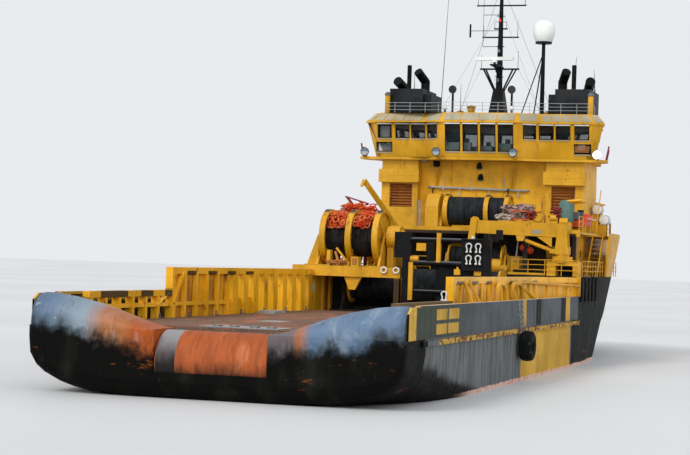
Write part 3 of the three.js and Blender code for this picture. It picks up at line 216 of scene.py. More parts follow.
class Paint(Graph):
    """A material's node tree, with the ship's own coordinates at hand."""

    def __init__(self, name):
        self.material = bpy.data.materials.new(name)
        self.material.use_nodes = True
        super().__init__(self.material.node_tree)
        self.tree.nodes.clear()
        middle = (MIDSHIP, 0, 0)
        here = self.value("ShaderNodeTexCoord", output="Object")
        self.ship = self.value(
            "ShaderNodeVectorMath", {"operation": "MULTIPLY_ADD"},
            {0: here, 1: (1 / MODEL_SCALE,) * 3, 2: middle})
        apart = self.node("ShaderNodeSeparateXYZ", None, {0: self.ship})
        self.s, self.y, self.z = (Value(self, socket) for socket in apart.outputs)
        facing = self.node(
            "ShaderNodeSeparateXYZ", None, {0: self.value("ShaderNodeTexCoord", output="Normal")})
        self.face_s, self.face_y, self.face_z = (Value(self, socket) for socket in facing.outputs)

    def noise(self, scale, detail=4.0, stretch=(1, 1, 1), roughness=0.55, shift=0.0):
        """Fractal noise from about 0.25 to 0.75, scale features to a metre of the ship."""
        place = self.value(
            "ShaderNodeVectorMath", {"operation": "MULTIPLY_ADD"},
            {0: self.ship, 1: stretch, 2: (shift, shift * 0.7, shift * 1.3)})
        return self.value("ShaderNodeTexNoise", None, {
            "Vector": place, "Scale": scale, "Detail": detail, "Roughness": roughness})

    def mix(self, low, high, factor):
        low, high = (c if isinstance(c, Value) else (*linear(c), 1) for c in (low, high))
        return self.value("ShaderNodeMix", {"data_type": "RGBA", "clamp_factor": True},
                          {0: factor, 6: low, 7: high}, output=2)

    def streaks(self, scale=1.6, length=0.16, shift=0.0):
        """Marks that run down the plating."""
        return self.noise(scale, 5, (1, 1, length), 0.6, shift)

    def lines(self, place, pitch, width):
        """Narrow lines that repeat along one direction."""
        return 1 - abs((place / pitch).part() - 0.5).ramp(0.0, width / pitch)

    def done(self, colour, roughness, height=None, depth=0.02, metallic=0.0, gloss=0.3, **fixed):
        """Ends the tree in a shader; height is its relief, depth metres of the ship deep."""
        shader = self.node("ShaderNodeBsdfPrincipled", None,
                           {"Specular IOR Level": gloss, "Base Color": colour, "Roughness": roughness,
                            "Metallic": metallic, **fixed})
        if height is not None:
            bump = self.value("ShaderNodeBump", None, {
                "Strength": 0.6, "Distance": depth * MODEL_SCALE, "Height": height})
            self.tree.links.new(bump.socket, shader.inputs["Normal"])
        out = self.node("ShaderNodeOutputMaterial")
        self.tree.links.new(shader.outputs[0], out.inputs[0])
        return self.material


def toned(colour, share):
    """A colour made darker or lighter by a share."""
    return tuple(min(1.0, c * share) for c in linear(colour))


RUST = "#7C3F1E"
BRIGHT_RUST = "#B4622C"
GRIME = "#3A2C1C"
SOOT = "#0D0D0D"
DUST = "#B9AE98"


def weathered(p, colour, rust, grime, chips=0.0):
    """Ship's paint with faded patches, dirt running down and rust breaking through."""
    faded = p.mix(toned(colour, 0.84), tuple(min(1, c * 1.12 + 0.015) for c in linear(colour)),
                  p.noise(0.33, 4).ramp(0.36, 0.66))
    dirty = p.mix(faded, toned(colour, 0.5), p.streaks(1.5, 0.14, 3).ramp(0.5, 0.78) * grime)
    sooted = p.mix(dirty, GRIME, p.noise(0.9, 6, shift=9).ramp(0.58, 0.82) * grime * 0.6)
    ragged = p.noise(1.7, 8, (1, 1, 0.45), 0.68, 17).ramp(0.585, 0.655)
    running = p.streaks(3.1, 0.1, 5).ramp(0.55, 0.75)
    rusted = p.mix(sooted, RUST, ragged.most(running * 0.35) * rust)
    if chips:
        rusted = p.mix(rusted, SOOT, p.noise(5.0, 5, shift=23).ramp(0.62, 0.68) * chips)
    return rusted, ragged


def grain(p, amount=1.0):
    return p.noise(9.0, 4) * amount + p.noise(1.1, 3) * 0.8


def deck_paint(p, colour, tread):
    """Walked-on surfaces keep the deck's own colour and dirt."""
    walked = p.mix(tread, toned(tread, 0.55), p.noise(0.8, 6, shift=31).ramp(0.4, 0.7))
    return p.mix(colour, walked, p.face_z.ramp(0.8, 0.95))


def yellow_paint(name, rust, grime, tread=None):
    p = Paint(name)
    colour, ragged = weathered(p, "yellow", rust, grime)
    if tread:
        colour = deck_paint(p, colour, tread)
    return p.done(colour, 0.42 + ragged * 0.35 + p.noise(3.0) * 0.15, grain(p), 0.02)


def house_paint(name):
    """The superstructure's paint: brown behind the louvre slats, painted shade under the boat deck and
    painted light on the wall under the bridge.
    """
    p = Paint(name)
    colour, ragged = weathered(p, "yellow", 0.45, 0.5)
    joint = p.lines(p.s + p.y, 2.4, 0.05).most(p.lines(p.z, 1.35, 0.05))
    colour = p.mix(colour, toned("yellow", 0.5), joint * 0.2)
    # Painted light: the aft wall under the bridge is lightened towards a bright yellow, lifting it out of the
    # overhang's shade.
    painted_light_under_bridge = p.s.within(53.5, 54.4, 0.05) * p.z.within(8.9, 14.0, 0.3) * (1 - abs(p.y).ramp(4.7, 4.9))
    colour = p.mix(colour, "#FFBE22", painted_light_under_bridge * p.noise(0.8, 6).ramp(0.2, 0.7) * 0.75)
    slats = p.s.within(53.03, 53.6, 0.01) * abs(p.y).within(5.08, 6.96, 0.01) * p.z.within(10.45, 12.26, 0.01)
    brown = p.mix("#C06C14", "#E08A22", p.noise(1.2, 7, shift=12).ramp(0.4, 0.6))
    colour = p.mix(colour, brown, slats)
    # Painted shade: dark browns on the walls under the boat deck, where the deck above shades them.
    shaded = p.mix("#191410", "#3A2416", p.noise(0.8, 7, (1, 1, 0.6), 0.65, 29).ramp(0.45, 0.62))
    below = p.s.within(43.6, 51.7, 0.05) * (1 - p.z.ramp(8.68, 8.74)) * p.z.ramp(5.8, 5.9)
    colour = p.mix(colour, shaded, below * (1 - p.face_s.ramp(0.3, 0.6)) * (1 - abs(p.y).ramp(8.4, 8.5)))
    colour = deck_paint(p, colour, "#4E5247")
    return p.done(colour, 0.45 + ragged * 0.35 + p.noise(3.0) * 0.15, grain(p) + joint * 0.7, 0.02)


def cargo_rail_paint(name):
    """Rail yellow with black stripes on the aft rail's top, brown plates and a brown end post."""
    p = Paint(name)
    # Painted light: the rails take the ship's yellow lightened by a share of 1.35, lifting them out of shade.
    yellow, ragged = weathered(p, toned("yellow", 1.35), 0.7, 0.5)
    brown = p.mix("#A8672A", "#7A4A22", p.noise(1.6, 7, (1, 1, 0.5)).ramp(0.42, 0.62))
    upright = 1 - abs(p.face_z).ramp(0.4, 0.7)
    plate = abs(p.y).within(7.6, 7.72, 0.01) * p.s.within(13.9, 21.9) * upright
    plate = plate * (1 - p.z.ramp(5.0, 5.4) * 0.6)
    colour = p.mix(yellow, brown, plate * p.noise(0.7, 7, (1, 1, 0.25), 0.6, 12).ramp(0.4, 0.56) * 0.85)
    low = (1 - p.y.ramp(-1, 1)) * (1 - p.s.ramp(13.2, 13.3))
    colour = p.mix(colour, "#33302A", low * 0.85)
    stripes = p.s.bands(((4.4, 7.6), (9.2, 10.8), (12.3, 13.3))) * p.z.within(4.28, 4.7)
    dashes = p.s.bands((a, a + 1.35) for a in (15.3, 18.4, 21.4, 24.4)) * p.z.within(5.4, 5.62)
    # Painted shade: dark slots in the starboard rail's top beam are painted near black, for the shade inside
    # them.
    aft = p.s.bands((a, a + 1.5) for a in (14.0, 17.4, 20.8, 27.0, 30.4, 33.8)) * p.z.within(5.4, 5.58)
    port = p.y.ramp(-0.5, 0.5)
    colour = p.mix(colour, "tar", (stripes + dashes) * port * 0.92 + aft * (1 - port) * 0.85)
    # Painted highlight: the rails' upward faces forward of s 13.5 turn pale yellow, more on the starboard
    # rail than on the port one.
    pale = p.mix("#F2D468", "#E2CB9A", p.noise(1.2, 6).ramp(0.45, 0.6))
    colour = p.mix(colour, pale, p.face_z.ramp(0.8, 0.95) * p.s.ramp(13.4, 13.6) * (0.7 - port * 0.3))
    return p.done(colour, 0.45 + ragged * 0.3, grain(p), 0.02)


def hull_paint(name):
    p = Paint(name)
    side = p.mix(toned("side_grey", 0.62), "side_grey", p.streaks(2.6, 0.12).ramp(0.38, 0.62))
    side = p.mix(side, toned("side_grey", 0.28), p.streaks(5.5, 0.07, 4).ramp(0.52, 0.72) * 0.75)
    frames = p.lines(p.s, 3.15, 0.12) * p.noise(2.0, 3, (1, 1, 0.4)).ramp(0.4, 0.6)
    side = p.mix(side, toned("side_grey", 0.35), frames * 0.5)
    tar = p.mix("tar", "#181A14", p.noise(0.7, 7, (1, 1, 0.5)).ramp(0.5, 0.72))
    tar = p.mix(tar, "#4C4A38", p.noise(2.3, 9, (1, 1, 0.6), 0.7, 8).ramp(0.64, 0.7) * 0.4)
    nicked = p.noise(5.0, 9, (1.6, 1.6, 0.5), 0.75, 51).ramp(0.7, 0.74)
    tar = p.mix(tar, "#9A968A", nicked * (1 - p.s.ramp(6.0, 12.0)))
    reach = p.noise(0.5, 6, (1, 1, 1), 0.6, 12)
    climb = (14.5 - p.s) * 0.16 + reach * 1.5 - 0.7
    low = (climb - p.z).ramp(-0.25, 0.3)
    black_aft = (2.6 + reach * 1.6 - p.s).ramp(0.0, 0.12)
    black_fore = (p.s - 40.9).ramp(0.0, 0.1) * 0.94
    side = p.mix(side, tar, low.most(black_aft).most(black_fore))
    panel, _ = weathered(p, "panel", 0.35, 0.7, 0.3)
    side = p.mix(side, panel, p.s.within(24.85, 40.6) * p.z.within(0.1, 2.72))
    scrape = p.noise(1.1, 9, (0.35, 0.35, 1.6), 0.7, 21).ramp(0.6, 0.66) * p.z.within(0.5, 2.6, 0.4)
    side = p.mix(side, BRIGHT_RUST, scrape * 0.3)
    belt = p.z.within(2.7, 3.0) * p.s.within(5.5, 43.4) * abs(p.y).ramp(8.98, 9.05)
    worn_belt = p.mix("#6E4420", "panel", p.noise(2.0, 7, (1, 1, 2)).ramp(0.42, 0.56))
    side = p.mix(side, worn_belt, belt * 0.85)
    side = p.mix(side, worn_stern(p), (1 - p.s.ramp(1.2, 2.2)) * (p.z - tar_edge(p)).ramp(-0.3, 0.5))
    edge = p.noise(1.4, 6, shift=2) * 0.22
    boot = p.mix("boot", "#D9B7A6", p.noise(2.5, 6).ramp(0.3, 0.5))
    side = p.mix(side, boot, (1 - (p.z - edge).ramp(0.06, 0.13)) * p.s.ramp(9.0, 14.0))
    bottom = p.mix("antifouling", toned("antifouling", 0.45), p.noise(0.8, 8).ramp(0.45, 0.7))
    side = p.mix(side, p.mix(bottom, "#39421F", p.noise(1.7, 6, shift=40).ramp(0.55, 0.7) * 0.6),
                 1 - p.z.ramp(-0.25, -0.12))
    side = deck_paint(p, side, "#5E5145")
    height = grain(p) + (p.s * 9.9).wave() * 0.35 * p.s.ramp(3.5, 6.0) + frames * 0.6
    flecks = p.noise(5.0, 6, (1, 1, 0.5), 0.75, 71).ramp(0.68, 0.74)
    flecks *= (1 - p.z.ramp(2.2, 3.0)) * p.z.ramp(0.0, 0.4)
    side = p.mix(side, "#8E8F88", flecks * 0.5)
    return p.done(side, 0.55 + p.noise(1.5) * 0.3, height, 0.035, gloss=0.08)


def tar_edge(p):
    """The height up to which black tar covers the stern."""
    ragged = (p.noise(0.9, 7, (1, 1, 0.9), 0.62, 44) - 0.5) * 1.9
    return 2.0 + abs(p.y).ramp(3.2, 6.0) * 0.5 + abs(p.y).ramp(6.0, 8.8) * 0.7 + ragged


def worn_stern(p):
    """Colours across the stern: rubbed steel at the quarters, rusted primer between them."""
    blue, brown, orange = "horn", "#A5683F", "roller"
    grey = "#6A5F62"
    place = (p.y + p.noise(1.4, 6, (0.3, 1, 0.35), 0.6, 14) * 0.5 - 0.25 + 9) / 18
    across = p.value("ShaderNodeValToRGB",
                     {"stops": [(0.0, toned(blue, 0.62)), (0.03, blue), (0.24, blue), (0.27, brown),
                                (0.292, grey), (0.352, grey), (0.358, orange), (0.59, orange), (0.594, grey),
                                (0.64, grey), (0.645, orange), (0.705, orange), (0.74, brown), (0.79, brown),
                                (0.85, "#8494A0"), (0.95, toned(blue, 0.9)), (1.0, toned(blue, 0.7))]},
                     {0: place})
    shade = p.noise(1.2, 7, (0.4, 1, 0.35), 0.62, 6)
    worn = p.mix(across, "#A9B0B6", shade.ramp(0.56, 0.74) * 0.45)
    scored = p.noise(2.0, 9, (0.5, 2.2, 0.25), 0.72, 19)
    worn = p.mix(worn, "#33291F", scored.ramp(0.55, 0.7) * 0.6)
    pale = p.noise(0.7, 6, (0.6, 1, 0.8), 0.6, 51).ramp(0.5, 0.66) * abs(p.y).ramp(4.6, 6.2)
    worn = p.mix(worn, "#9FB0BC", pale * 0.55)
    smudge = (1 - (p.z - tar_edge(p)).ramp(0.0, 1.0)) * 0.75
    return p.mix(worn, "#232A28", smudge * p.noise(2.2, 8, (1, 1, 0.8), 0.7, 63).ramp(0.3, 0.6))


def horn_steel(name):
    p = Paint(name)
    colour = worn_stern(p)
    tar = p.mix("tar", "#31352F", p.noise(1.5, 7).ramp(0.5, 0.7))
    reach = p.noise(0.8, 7, (1, 1, 1), 0.65, 12)
    colour = p.mix(colour, tar, (1 - (p.z - tar_edge(p)).ramp(-0.3, 0.5)) * (1 - p.s.ramp(0.9, 1.6)))
    colour = p.mix(colour, "#B9BBBC", p.noise(1.6, 9, (2, 0.6, 1), 0.72, 33).ramp(0.63, 0.67) * 0.5)
    return p.done(colour, 0.45 + reach * 0.3, grain(p, 1.4), 0.03, 0.1)


def roller_steel(name):
    p = Paint(name)
    worn = p.mix(toned("roller", 0.72), "roller", p.noise(1.6, 6, (0.5, 2.4, 0.5)).ramp(0.35, 0.6))
    worn = p.mix(worn, "#C97E50", p.noise(0.9, 8, (0.5, 1.6, 0.5), 0.65, 9).ramp(0.55, 0.7) * 0.5)
    worn = p.mix(worn, "#5A2C1B", p.noise(3.2, 8, (0.4, 3.0, 0.4), 0.72, 15).ramp(0.58, 0.68) * 0.5)
    band = p.y.ramp(1.66, 1.72) * (1 - p.y.ramp(2.6, 2.64))
    # The rubbed band's grey runs from dark at the bottom to light grey at the top: painted shade and
    # highlight on the round roller.
    worn = p.mix(worn, p.mix("#4E4547", "#8C8A8C", p.z.ramp(1.9, 3.0)), band)
    low = 1.0 + (p.noise(1.6, 8, (1, 1, 0.4), 0.7, 44) - 0.5) * 1.6 + band * 0.6
    tarred = p.mix(worn, "tar", (1 - (p.z - low).ramp(-0.15, 0.8)) * 0.97)
    height = grain(p) + p.noise(4.0, 6, (0.5, 3, 0.5)) * 0.8
    return p.done(tarred, 0.55 + p.noise(2.5) * 0.2, height, 0.03, 0.05)


def strake_paint(name):
    p = Paint(name)
    grey, _ = weathered(p, "strake", 0.12, 0.7)
    yellow, _ = weathered(p, "panel", 0.5, 0.9, 0.4)
    grey = p.mix(grey, "#3B4238", (1 - p.s.ramp(5.0, 16.0)) * p.noise(0.9, 6).ramp(0.2, 0.5))
    outer = abs(p.y).ramp(8.88, 8.92)
    bars = p.s.bands(((0.45, 1.7), (25.1, 26.15), (38.8, 40.3)), 0.03)
    board = p.s.bands(((5.3, 7.35), (7.6, 9.7)), 0.03) * p.z.bands(((3.2, 3.68), (3.86, 4.36)), 0.02)
    blacks = p.s.bands(((29.0, 30.5), (37.05, 38.8), (-1.0, 0.43)), 0.03)
    colour = p.mix(grey, yellow, (bars + board) * outer)
    colour = p.mix(colour, "tar", blacks * outer)
    colour = p.mix(colour, yellow, (1 - outer) * (1 - p.face_z.ramp(0.7, 0.9)))
    # Painted highlight: the cap's upward faces are painted pale, from s 1.3 forward.
    cap_highlight = p.mix("#CDAF9F", "#B99A65", p.noise(0.8, 6).ramp(0.45, 0.65))
    colour = p.mix(colour, cap_highlight, p.face_z.ramp(0.7, 0.9) * p.s.ramp(1.25, 1.35))
    return p.done(colour, 0.5 + p.noise(2) * 0.25, grain(p) + (p.s * 6).wave() * 0.4, 0.03, gloss=0.1)


def plank_timber(name):
    p = Paint(name)
    board = (p.y / sizes().plank_width).math("FLOOR")
    varied = p.value("ShaderNodeTexWhiteNoise", {"noise_dimensions": "1D"}, {"W": board})
    wood = p.mix(toned("deck", 0.68), "deck", varied)
    wood = p.mix(wood, "#B4643A", p.noise(0.45, 8, (0.7, 1.3, 1), 0.65, 3).ramp(0.5, 0.66) * 0.75)
    wood = p.mix(wood, "#3B2B24", p.noise(0.8, 9, (0.6, 1.4, 1), 0.7, 27).ramp(0.55, 0.7) * 0.8)
    wood = p.mix(wood, "#D8A53A", p.noise(1.6, 8, (0.4, 1.8, 1), 0.7, 39).ramp(0.64, 0.68) * 0.6)
    fibres = p.noise(6.0, 6, (0.25, 6, 6), 0.6)
    return p.done(wood, 0.7 + fibres * 0.2, fibres, 0.012)


def wire_finish(name):
    p = Paint(name)
    colour = p.mix("#1A1D1F", "#303539", p.noise(1.2, 5, (1, 2, 1)).ramp(0.35, 0.65))
    colour = p.mix(colour, "#2C1D14", p.noise(1.3, 7, shift=8).ramp(0.55, 0.7) * 0.5)
    strands = ((p.s + p.z) * 70.0 + p.y * 55.0).wave()
    return p.done(colour, 0.55 + p.noise(4) * 0.2, strands, 0.012, 0.15, gloss=0.2)


def black_steel(name, top_highlight=0.55):
    p = Paint(name)
    colour = p.mix(toned("black", 0.7), toned("black", 1.9), p.noise(0.9, 6).ramp(0.4, 0.65))
    # Painted highlight: upward faces are lightened towards blue-grey, by the share the second argument gives.
    colour = p.mix(colour, "#7F8790", p.face_z.ramp(0.35, 0.9) * top_highlight)
    colour = p.mix(colour, RUST, p.noise(2.0, 8, (1, 1, 0.4), 0.68, 11).ramp(0.62, 0.7) * 0.35)
    return p.done(colour, 0.5 + p.noise(3) * 0.2, grain(p), 0.02, 0.1, gloss=0.15)


def platform_paint(name):
    """Yellow beam and deck; posts under the beam are blackened."""
    p = Paint(name)
    colour, ragged = weathered(p, "yellow", 0.5, 0.6)
    bracket = p.y.within(4.0, 5.5, 0.05) * (1 - p.s.ramp(37.7, 37.9))
    colour = p.mix(colour, "#16150F", (1 - p.z.ramp(5.3, 5.42)) * (1 - bracket) * 0.94)
    colour = deck_paint(p, colour, "#5E5145")
    return p.done(colour, 0.5 + ragged * 0.3, grain(p), 0.02)


def funnel_paint(name):
    p = Paint(name)
    colour, ragged = weathered(p, "funnel", 0.15, 0.12)
    colour = p.mix(colour, "tar", p.z.ramp(19.3, 19.6) * 0.9)
    return p.done(colour, 0.5 + ragged * 0.2, grain(p) + p.lines(p.z, 0.7, 0.03) * 0.5, 0.02, gloss=0.12)


def plain_coat(name, colour, rust=0.2, grime=0.3, roughness=0.45, metallic=0.0, depth=0.012):
    p = Paint(name)
    shade, ragged = weathered(p, colour, rust, grime)
    return p.done(shade, roughness + ragged * 0.25, grain(p), depth, metallic)


def wheelhouse_paint(name):
    """Yellow outside; the lining inside is found by faces that look towards the room's middle."""
    p = Paint(name)
    colour, ragged = weathered(p, "yellow", 0.3, 0.3)
    inward = ((p.s - 57.0) * p.face_s + p.y * p.face_y * 0.55).ramp(-0.3, 0.0)
    lining = p.mix("#4C4A40", "#6B685C", p.noise(0.8, 4).ramp(0.4, 0.6))
    colour = p.mix(lining, colour, inward)
    return p.done(colour, 0.42 + ragged * 0.3, grain(p), 0.015)


def window_glass(name):
    p = Paint(name)
    tint = p.mix("#0F1A1E", "#22343A", p.noise(0.5, 3).ramp(0.4, 0.6))
    made = p.done(tint, 0.04 + p.noise(2.0, 3) * 0.05, p.noise(1.2, 2), 0.004, Alpha=0.34)
    made.surface_render_method = "BLENDED"
    return made


def rubber_finish(name):
    p = Paint(name)
    colour = p.mix("#0A0B0B", "#1E1F1E", p.noise(1.8, 7).ramp(0.45, 0.66))
    colour = p.mix(colour, DUST, p.noise(2.6, 8, (1, 1, 0.5), 0.7, 6).ramp(0.62, 0.72) * 0.18)
    return p.done(colour, 0.75 + p.noise(3) * 0.15, grain(p), 0.03, gloss=0.15)


def rope_finish(name, first, second):
    p = Paint(name)
    colour = p.mix(first, second, p.noise(1.9, 4, shift=3).ramp(0.42, 0.58))
    colour = p.mix(colour, GRIME, p.noise(3.3, 6).ramp(0.55, 0.72) * 0.6)
    lay = ((p.s + p.y * 0.7 + p.z) * 90.0).wave()
    return p.done(colour, 0.8 + p.noise(3) * 0.1, lay, 0.01)


def lamp_glass(name, colour, strength):
    p = Paint(name)
    shade = p.mix(toned(colour, 0.75), colour, p.noise(8.0, 2).ramp(0.35, 0.6))
    made = p.done(shade, 0.12 + p.noise(5) * 0.08, p.noise(14.0, 2), 0.004)
    shader = next(n for n in made.node_tree.nodes if n.type == "BSDF_PRINCIPLED")
    made.node_tree.links.new(shade.socket, shader.inputs["Emission Color"])
    shader.inputs["Emission Strength"].default_value = strength
    return made


def floor_finish(name):
    p = Paint(name)
    colour = p.mix("#C9CACB", "#D2D3D4", p.noise(0.02, 3).ramp(0.3, 0.7))
    return p.done(colour, 0.6, None)


# finish: slot of the part, function that makes it and what the function is given after the name
FINISHES = {
    "ship_yellow": ("ship_yellow", house_paint),
    "gear_yellow": ("ship_yellow", yellow_paint, 0.5, 0.6),
    "rail_yellow": ("ship_yellow", yellow_paint, 0.75, 0.6),
    "winch_yellow": ("ship_yellow", yellow_paint, 0.8, 1.0, "#2C2620"),
    "cargo_rail_paint": ("ship_yellow", cargo_rail_paint),
    "platform_paint": ("ship_yellow", platform_paint),
    "wheelhouse_paint": ("ship_yellow", wheelhouse_paint),
    "frame_dark": ("ship_yellow", plain_coat, "#221E18", 0.6, 0.8, 0.6),
    "louvre_brown": ("ship_yellow", plain_coat, "#A8672A", 0.8, 0.9, 0.6),
    "hull_paint": ("hull_black", hull_paint),
    "horn_steel": ("quarter_steel", horn_steel),
    "roller_steel": ("roller_steel", roller_steel),
    "strake_paint": ("strake_grey", strake_paint),
    "deck_timber": ("deck_timber", plank_timber),
    "wire_rope": ("wire_drum", wire_finish),
    "frame_black": ("frame_black", black_steel),
    "mast_black": ("frame_black", black_steel, 0.12),
    "funnel_paint": ("funnel_blue", funnel_paint),
    "window_glass": ("window_glass", window_glass),
    "window_dark": ("window_glass", plain_coat, "#1A262B", 0.0, 0.3, 0.08),
    "fender_rubber": ("fender_rubber", rubber_finish),
    "bare_steel": ("bare_steel", plain_coat, "#8D9092", 0.6, 0.4, 0.35, 0.7),
    "console_grey": ("deck_gear_grey", plain_coat, "#3E4446", 0.05, 0.3),
    "console_teal": ("deck_gear_grey", plain_coat, "#9DB4B0", 0.0, 0.2, 0.4),
    "gear_grey": ("deck_gear_grey", plain_coat, "#5B5F62", 0.6, 0.7),
    "pale_grey": ("deck_gear_grey", plain_coat, "#A4A7A6", 0.25, 0.55, 0.4),
    "tarpaulin": ("deck_gear_grey", plain_coat, "#4F6F68", 0.0, 0.8, 0.8, 0.0, 0.05),
    "bronze": ("propeller_bronze", plain_coat, "#A9803A", 0.1, 0.6, 0.3, 0.9),
    "boat_orange": ("boat_orange", plain_coat, "orange", 0.05, 0.35, 0.5),
    "oxide_red": ("boat_orange", plain_coat, "#7B1F22", 0.3, 0.5, 0.6),
    "gel_white": ("white_paint", plain_coat, "white", 0.06, 0.3, 0.4),
    "pale_panel": ("white_paint", plain_coat, "#A39A80", 0.1, 0.35, 0.3),
    "net_rope": ("fender_rubber", rope_finish, "#C7A59A", "#6D5A50"),
    "pale_rope": ("fender_rubber", rope_finish, "#CFC8BC", "#B5A79A"),
    "orange_rope": ("boat_orange", rope_finish, "orange", "#D9713C"),
    "dark_rope": ("wire_drum", rope_finish, "#0F0F0E", "#262422"),
    "lamp_clear": ("white_paint", lamp_glass, "#667684", 0.02),
    "lamp_lit": ("white_paint", lamp_glass, "#FFF8EC", 9.0),
    "lamp_red": ("boat_orange", lamp_glass, "#D2341C", 0.4),
    "studio_floor": (None, floor_finish),
}
made_finishes = {}


def finish_of(name):
    if name not in made_finishes:
        _, make, *given = FINISHES[name]
        made_finishes[name] = make(name, *given)
    return made_finishes[name]


# Pieces

# corners counted with up fastest and along slowest
BOX_FACES = ((0, 1, 3, 2), (4, 6, 7, 5), (0, 4, 5, 1), (2, 3, 7, 6), (0, 2, 6, 4), (1, 5, 7, 3))


def across_axis(axis, a, b, c):
    """A point given by its other two coordinates in order and its place c on an axis."""
    return {0: (c, a, b), 1: (a, c, b), 2: (a, b, c)}[axis]


class Piece:
    """Gathers closed solids, given in ship metres, and makes one object of them."""

    def __init__(self):
        self.mesh = bmesh.new()

    def add(self, points, faces):
        corners = [self.mesh.verts.new(p) for p in points]
        for face in faces:
            self.mesh.faces.new([corners[k] for k in face])
        return self

    def box(self, s, y, z):
        """A box between two places on each axis."""
        return self.add([(a, b, c) for a in s for b in y for c in z], BOX_FACES)

    def bar(self, start, end, width, depth=None):
        """A rectangular bar between two points."""
        a, b = Vector(start), Vector(end)
        turn = Vector(UP).rotation_difference(b - a).to_matrix()
        half = (width / 2, (depth or width) / 2)
        length = (b - a).length
        points = [a + turn @ Vector((i * half[0], j * half[1], k * length))
                  for i in (-1, 1) for j in (-1, 1) for k in (0, 1)]
        return self.add(points, BOX_FACES)

    def tube(self, route, radius, sides=8, closed=False):
        """A round tube along a route of points; radius may be a list, one for each point."""
        points = [Vector(p) for p in route]
        count = len(points)
        radii = radius if isinstance(radius, (list, tuple)) else [radius] * count
        rings, up = [], None
        for k, point in enumerate(points):
            before = points[k - 1] if k or closed else point
            after = points[(k + 1) % count] if k + 1 < count or closed else point
            ahead = (after - before).normalized()
            if up is None:
                up = ahead.orthogonal().normalized()
            up = (up - ahead * up.dot(ahead)).normalized()
            side = ahead.cross(up)
            rings.append([point + (up * math.cos(t) + side * math.sin(t)) * radii[k]
                          for t in (math.tau * n / sides for n in range(sides))])
        faces = []
        for k in range(count if closed else count - 1):
            low, high = k * sides, ((k + 1) % count) * sides
            faces += [(low + n, low + (n + 1) % sides, high + (n + 1) % sides, high + n)
                      for n in range(sides)]
        if not closed:
            faces.append(tuple(reversed(range(sides))))
            faces.append(tuple(range((count - 1) * sides, count * sides)))
        return self.add([p for ring in rings for p in ring], faces)

    def rod(self, start, end, radius, end_radius=None, sides=10):
        """A round rod, tapered when its end has a radius of its own."""
        return self.tube([start, end], [radius, radius if end_radius is None else end_radius], sides)

    def ring(self, centre, reach, radius, axis, count, sides=6):
        """A round bar bent to a ring about an axis."""
        turns = (math.tau * n / count for n in range(count))
        points = (across_axis(axis, reach * math.cos(t), reach * math.sin(t), 0) for t in turns)
        return self.tube([Vector(centre) + Vector(p) for p in points], radius, sides, closed=True)

    def lathe(self, profile, centre, axis=UP, sides=24):
        """Turns a profile of (radius, height) about an axis; ends at radius 0 are closed."""
        turn = Vector(UP).rotation_difference(Vector(axis)).to_matrix()
        centre = Vector(centre)
        points, rings = [], []
        for radius, height in profile:
            if radius < 1e-6:
                rings.append([len(points)])
                points.append(centre + turn @ Vector((0, 0, height)))
                continue
            rings.append(list(range(len(points), len(points) + sides)))
            points += [centre + turn @ Vector((radius * math.cos(t), radius * math.sin(t), height))
                       for t in (math.tau * n / sides for n in range(sides))]
        faces = []
        pairs = list(zip(rings, rings[1:]))
        if len(rings[0]) > 1:
            pairs.append((rings[-1], rings[0]))
        for low, high in pairs:
            for n in range(sides):
                m = (n + 1) % sides
                ring = [low[n % len(low)], low[m % len(low)], high[m % len(high)], high[n % len(high)]]
                faces.append(tuple(dict.fromkeys(ring)))
        return self.add(points, faces)

    def prism(self, outline, axis, low, high):
        """An outline pushed along an axis; its points are the other two coordinates in order."""
        count = len(outline)
        points = [across_axis(axis, a, b, c) for c in (low, high) for a, b in outline]
        faces = [tuple(range(count)), tuple(reversed(range(count, 2 * count)))]
        faces += [(k, k + count, (k + 1) % count + count, (k + 1) % count) for k in range(count)]
        return self.add(points, faces)

    def loft(self, rings):
        """A skin through closed rings of equally many points, closed at both ends."""
        count = len(rings[0])
        faces = [tuple(range(count)), tuple(reversed(range(count * (len(rings) - 1), count * len(rings))))]
        for k in range(len(rings) - 1):
            low, high = k * count, (k + 1) * count
            faces += [(low + n, high + n, high + (n + 1) % count, low + (n + 1) % count)
                      for n in range(count)]
        return self.add([p for ring in rings for p in ring], faces)

    def frame(self, outer, inner, axis, low, high, centre):
        """A flat ring between two outlines of equally many points about a centre."""
        count = len(outer)
        points = [across_axis(axis, a + centre[0], b + centre[1], c)
                  for c, line in ((low, outer), (high, outer), (high, inner), (low, inner)) for a, b in line]
        faces = []
        for ring in range(4):
            a, b = ring * count, ((ring + 1) % 4) * count
            faces += [(a + n, a + (n + 1) % count, b + (n + 1) % count, b + n) for n in range(count)]
        return self.add(points, faces)

    def ball(self, centre, radius, stretch=(1, 1, 1), sides=16):
        placed = Matrix.Translation(centre) @ Matrix.Diagonal((*stretch, 1))
        bmesh.ops.create_uvsphere(
            self.mesh, u_segments=sides, v_segments=max(6, sides // 2), radius=radius, matrix=placed)
        return self

    def take(self, made):
        """Adds an object's mesh, already in ship metres, and removes the object."""
        self.mesh.from_mesh(made.data)
        bpy.data.objects.remove(made)
        return self

    def object(self, name):
        bmesh.ops.recalc_face_normals(self.mesh, faces=self.mesh.faces)
        data = bpy.data.meshes.new(name)
        self.mesh.to_mesh(data)
        self.mesh.free()
        made = bpy.data.objects.new(name, data)
        bpy.context.scene.collection.objects.link(made)
        return made

    def finish(self, name, finish, body="ship", replaces=(), smooth=35):
        """Turns what was gathered into a piece of the model that rides on a body."""
        settle(self.object(name), finish, body, replaces, smooth)


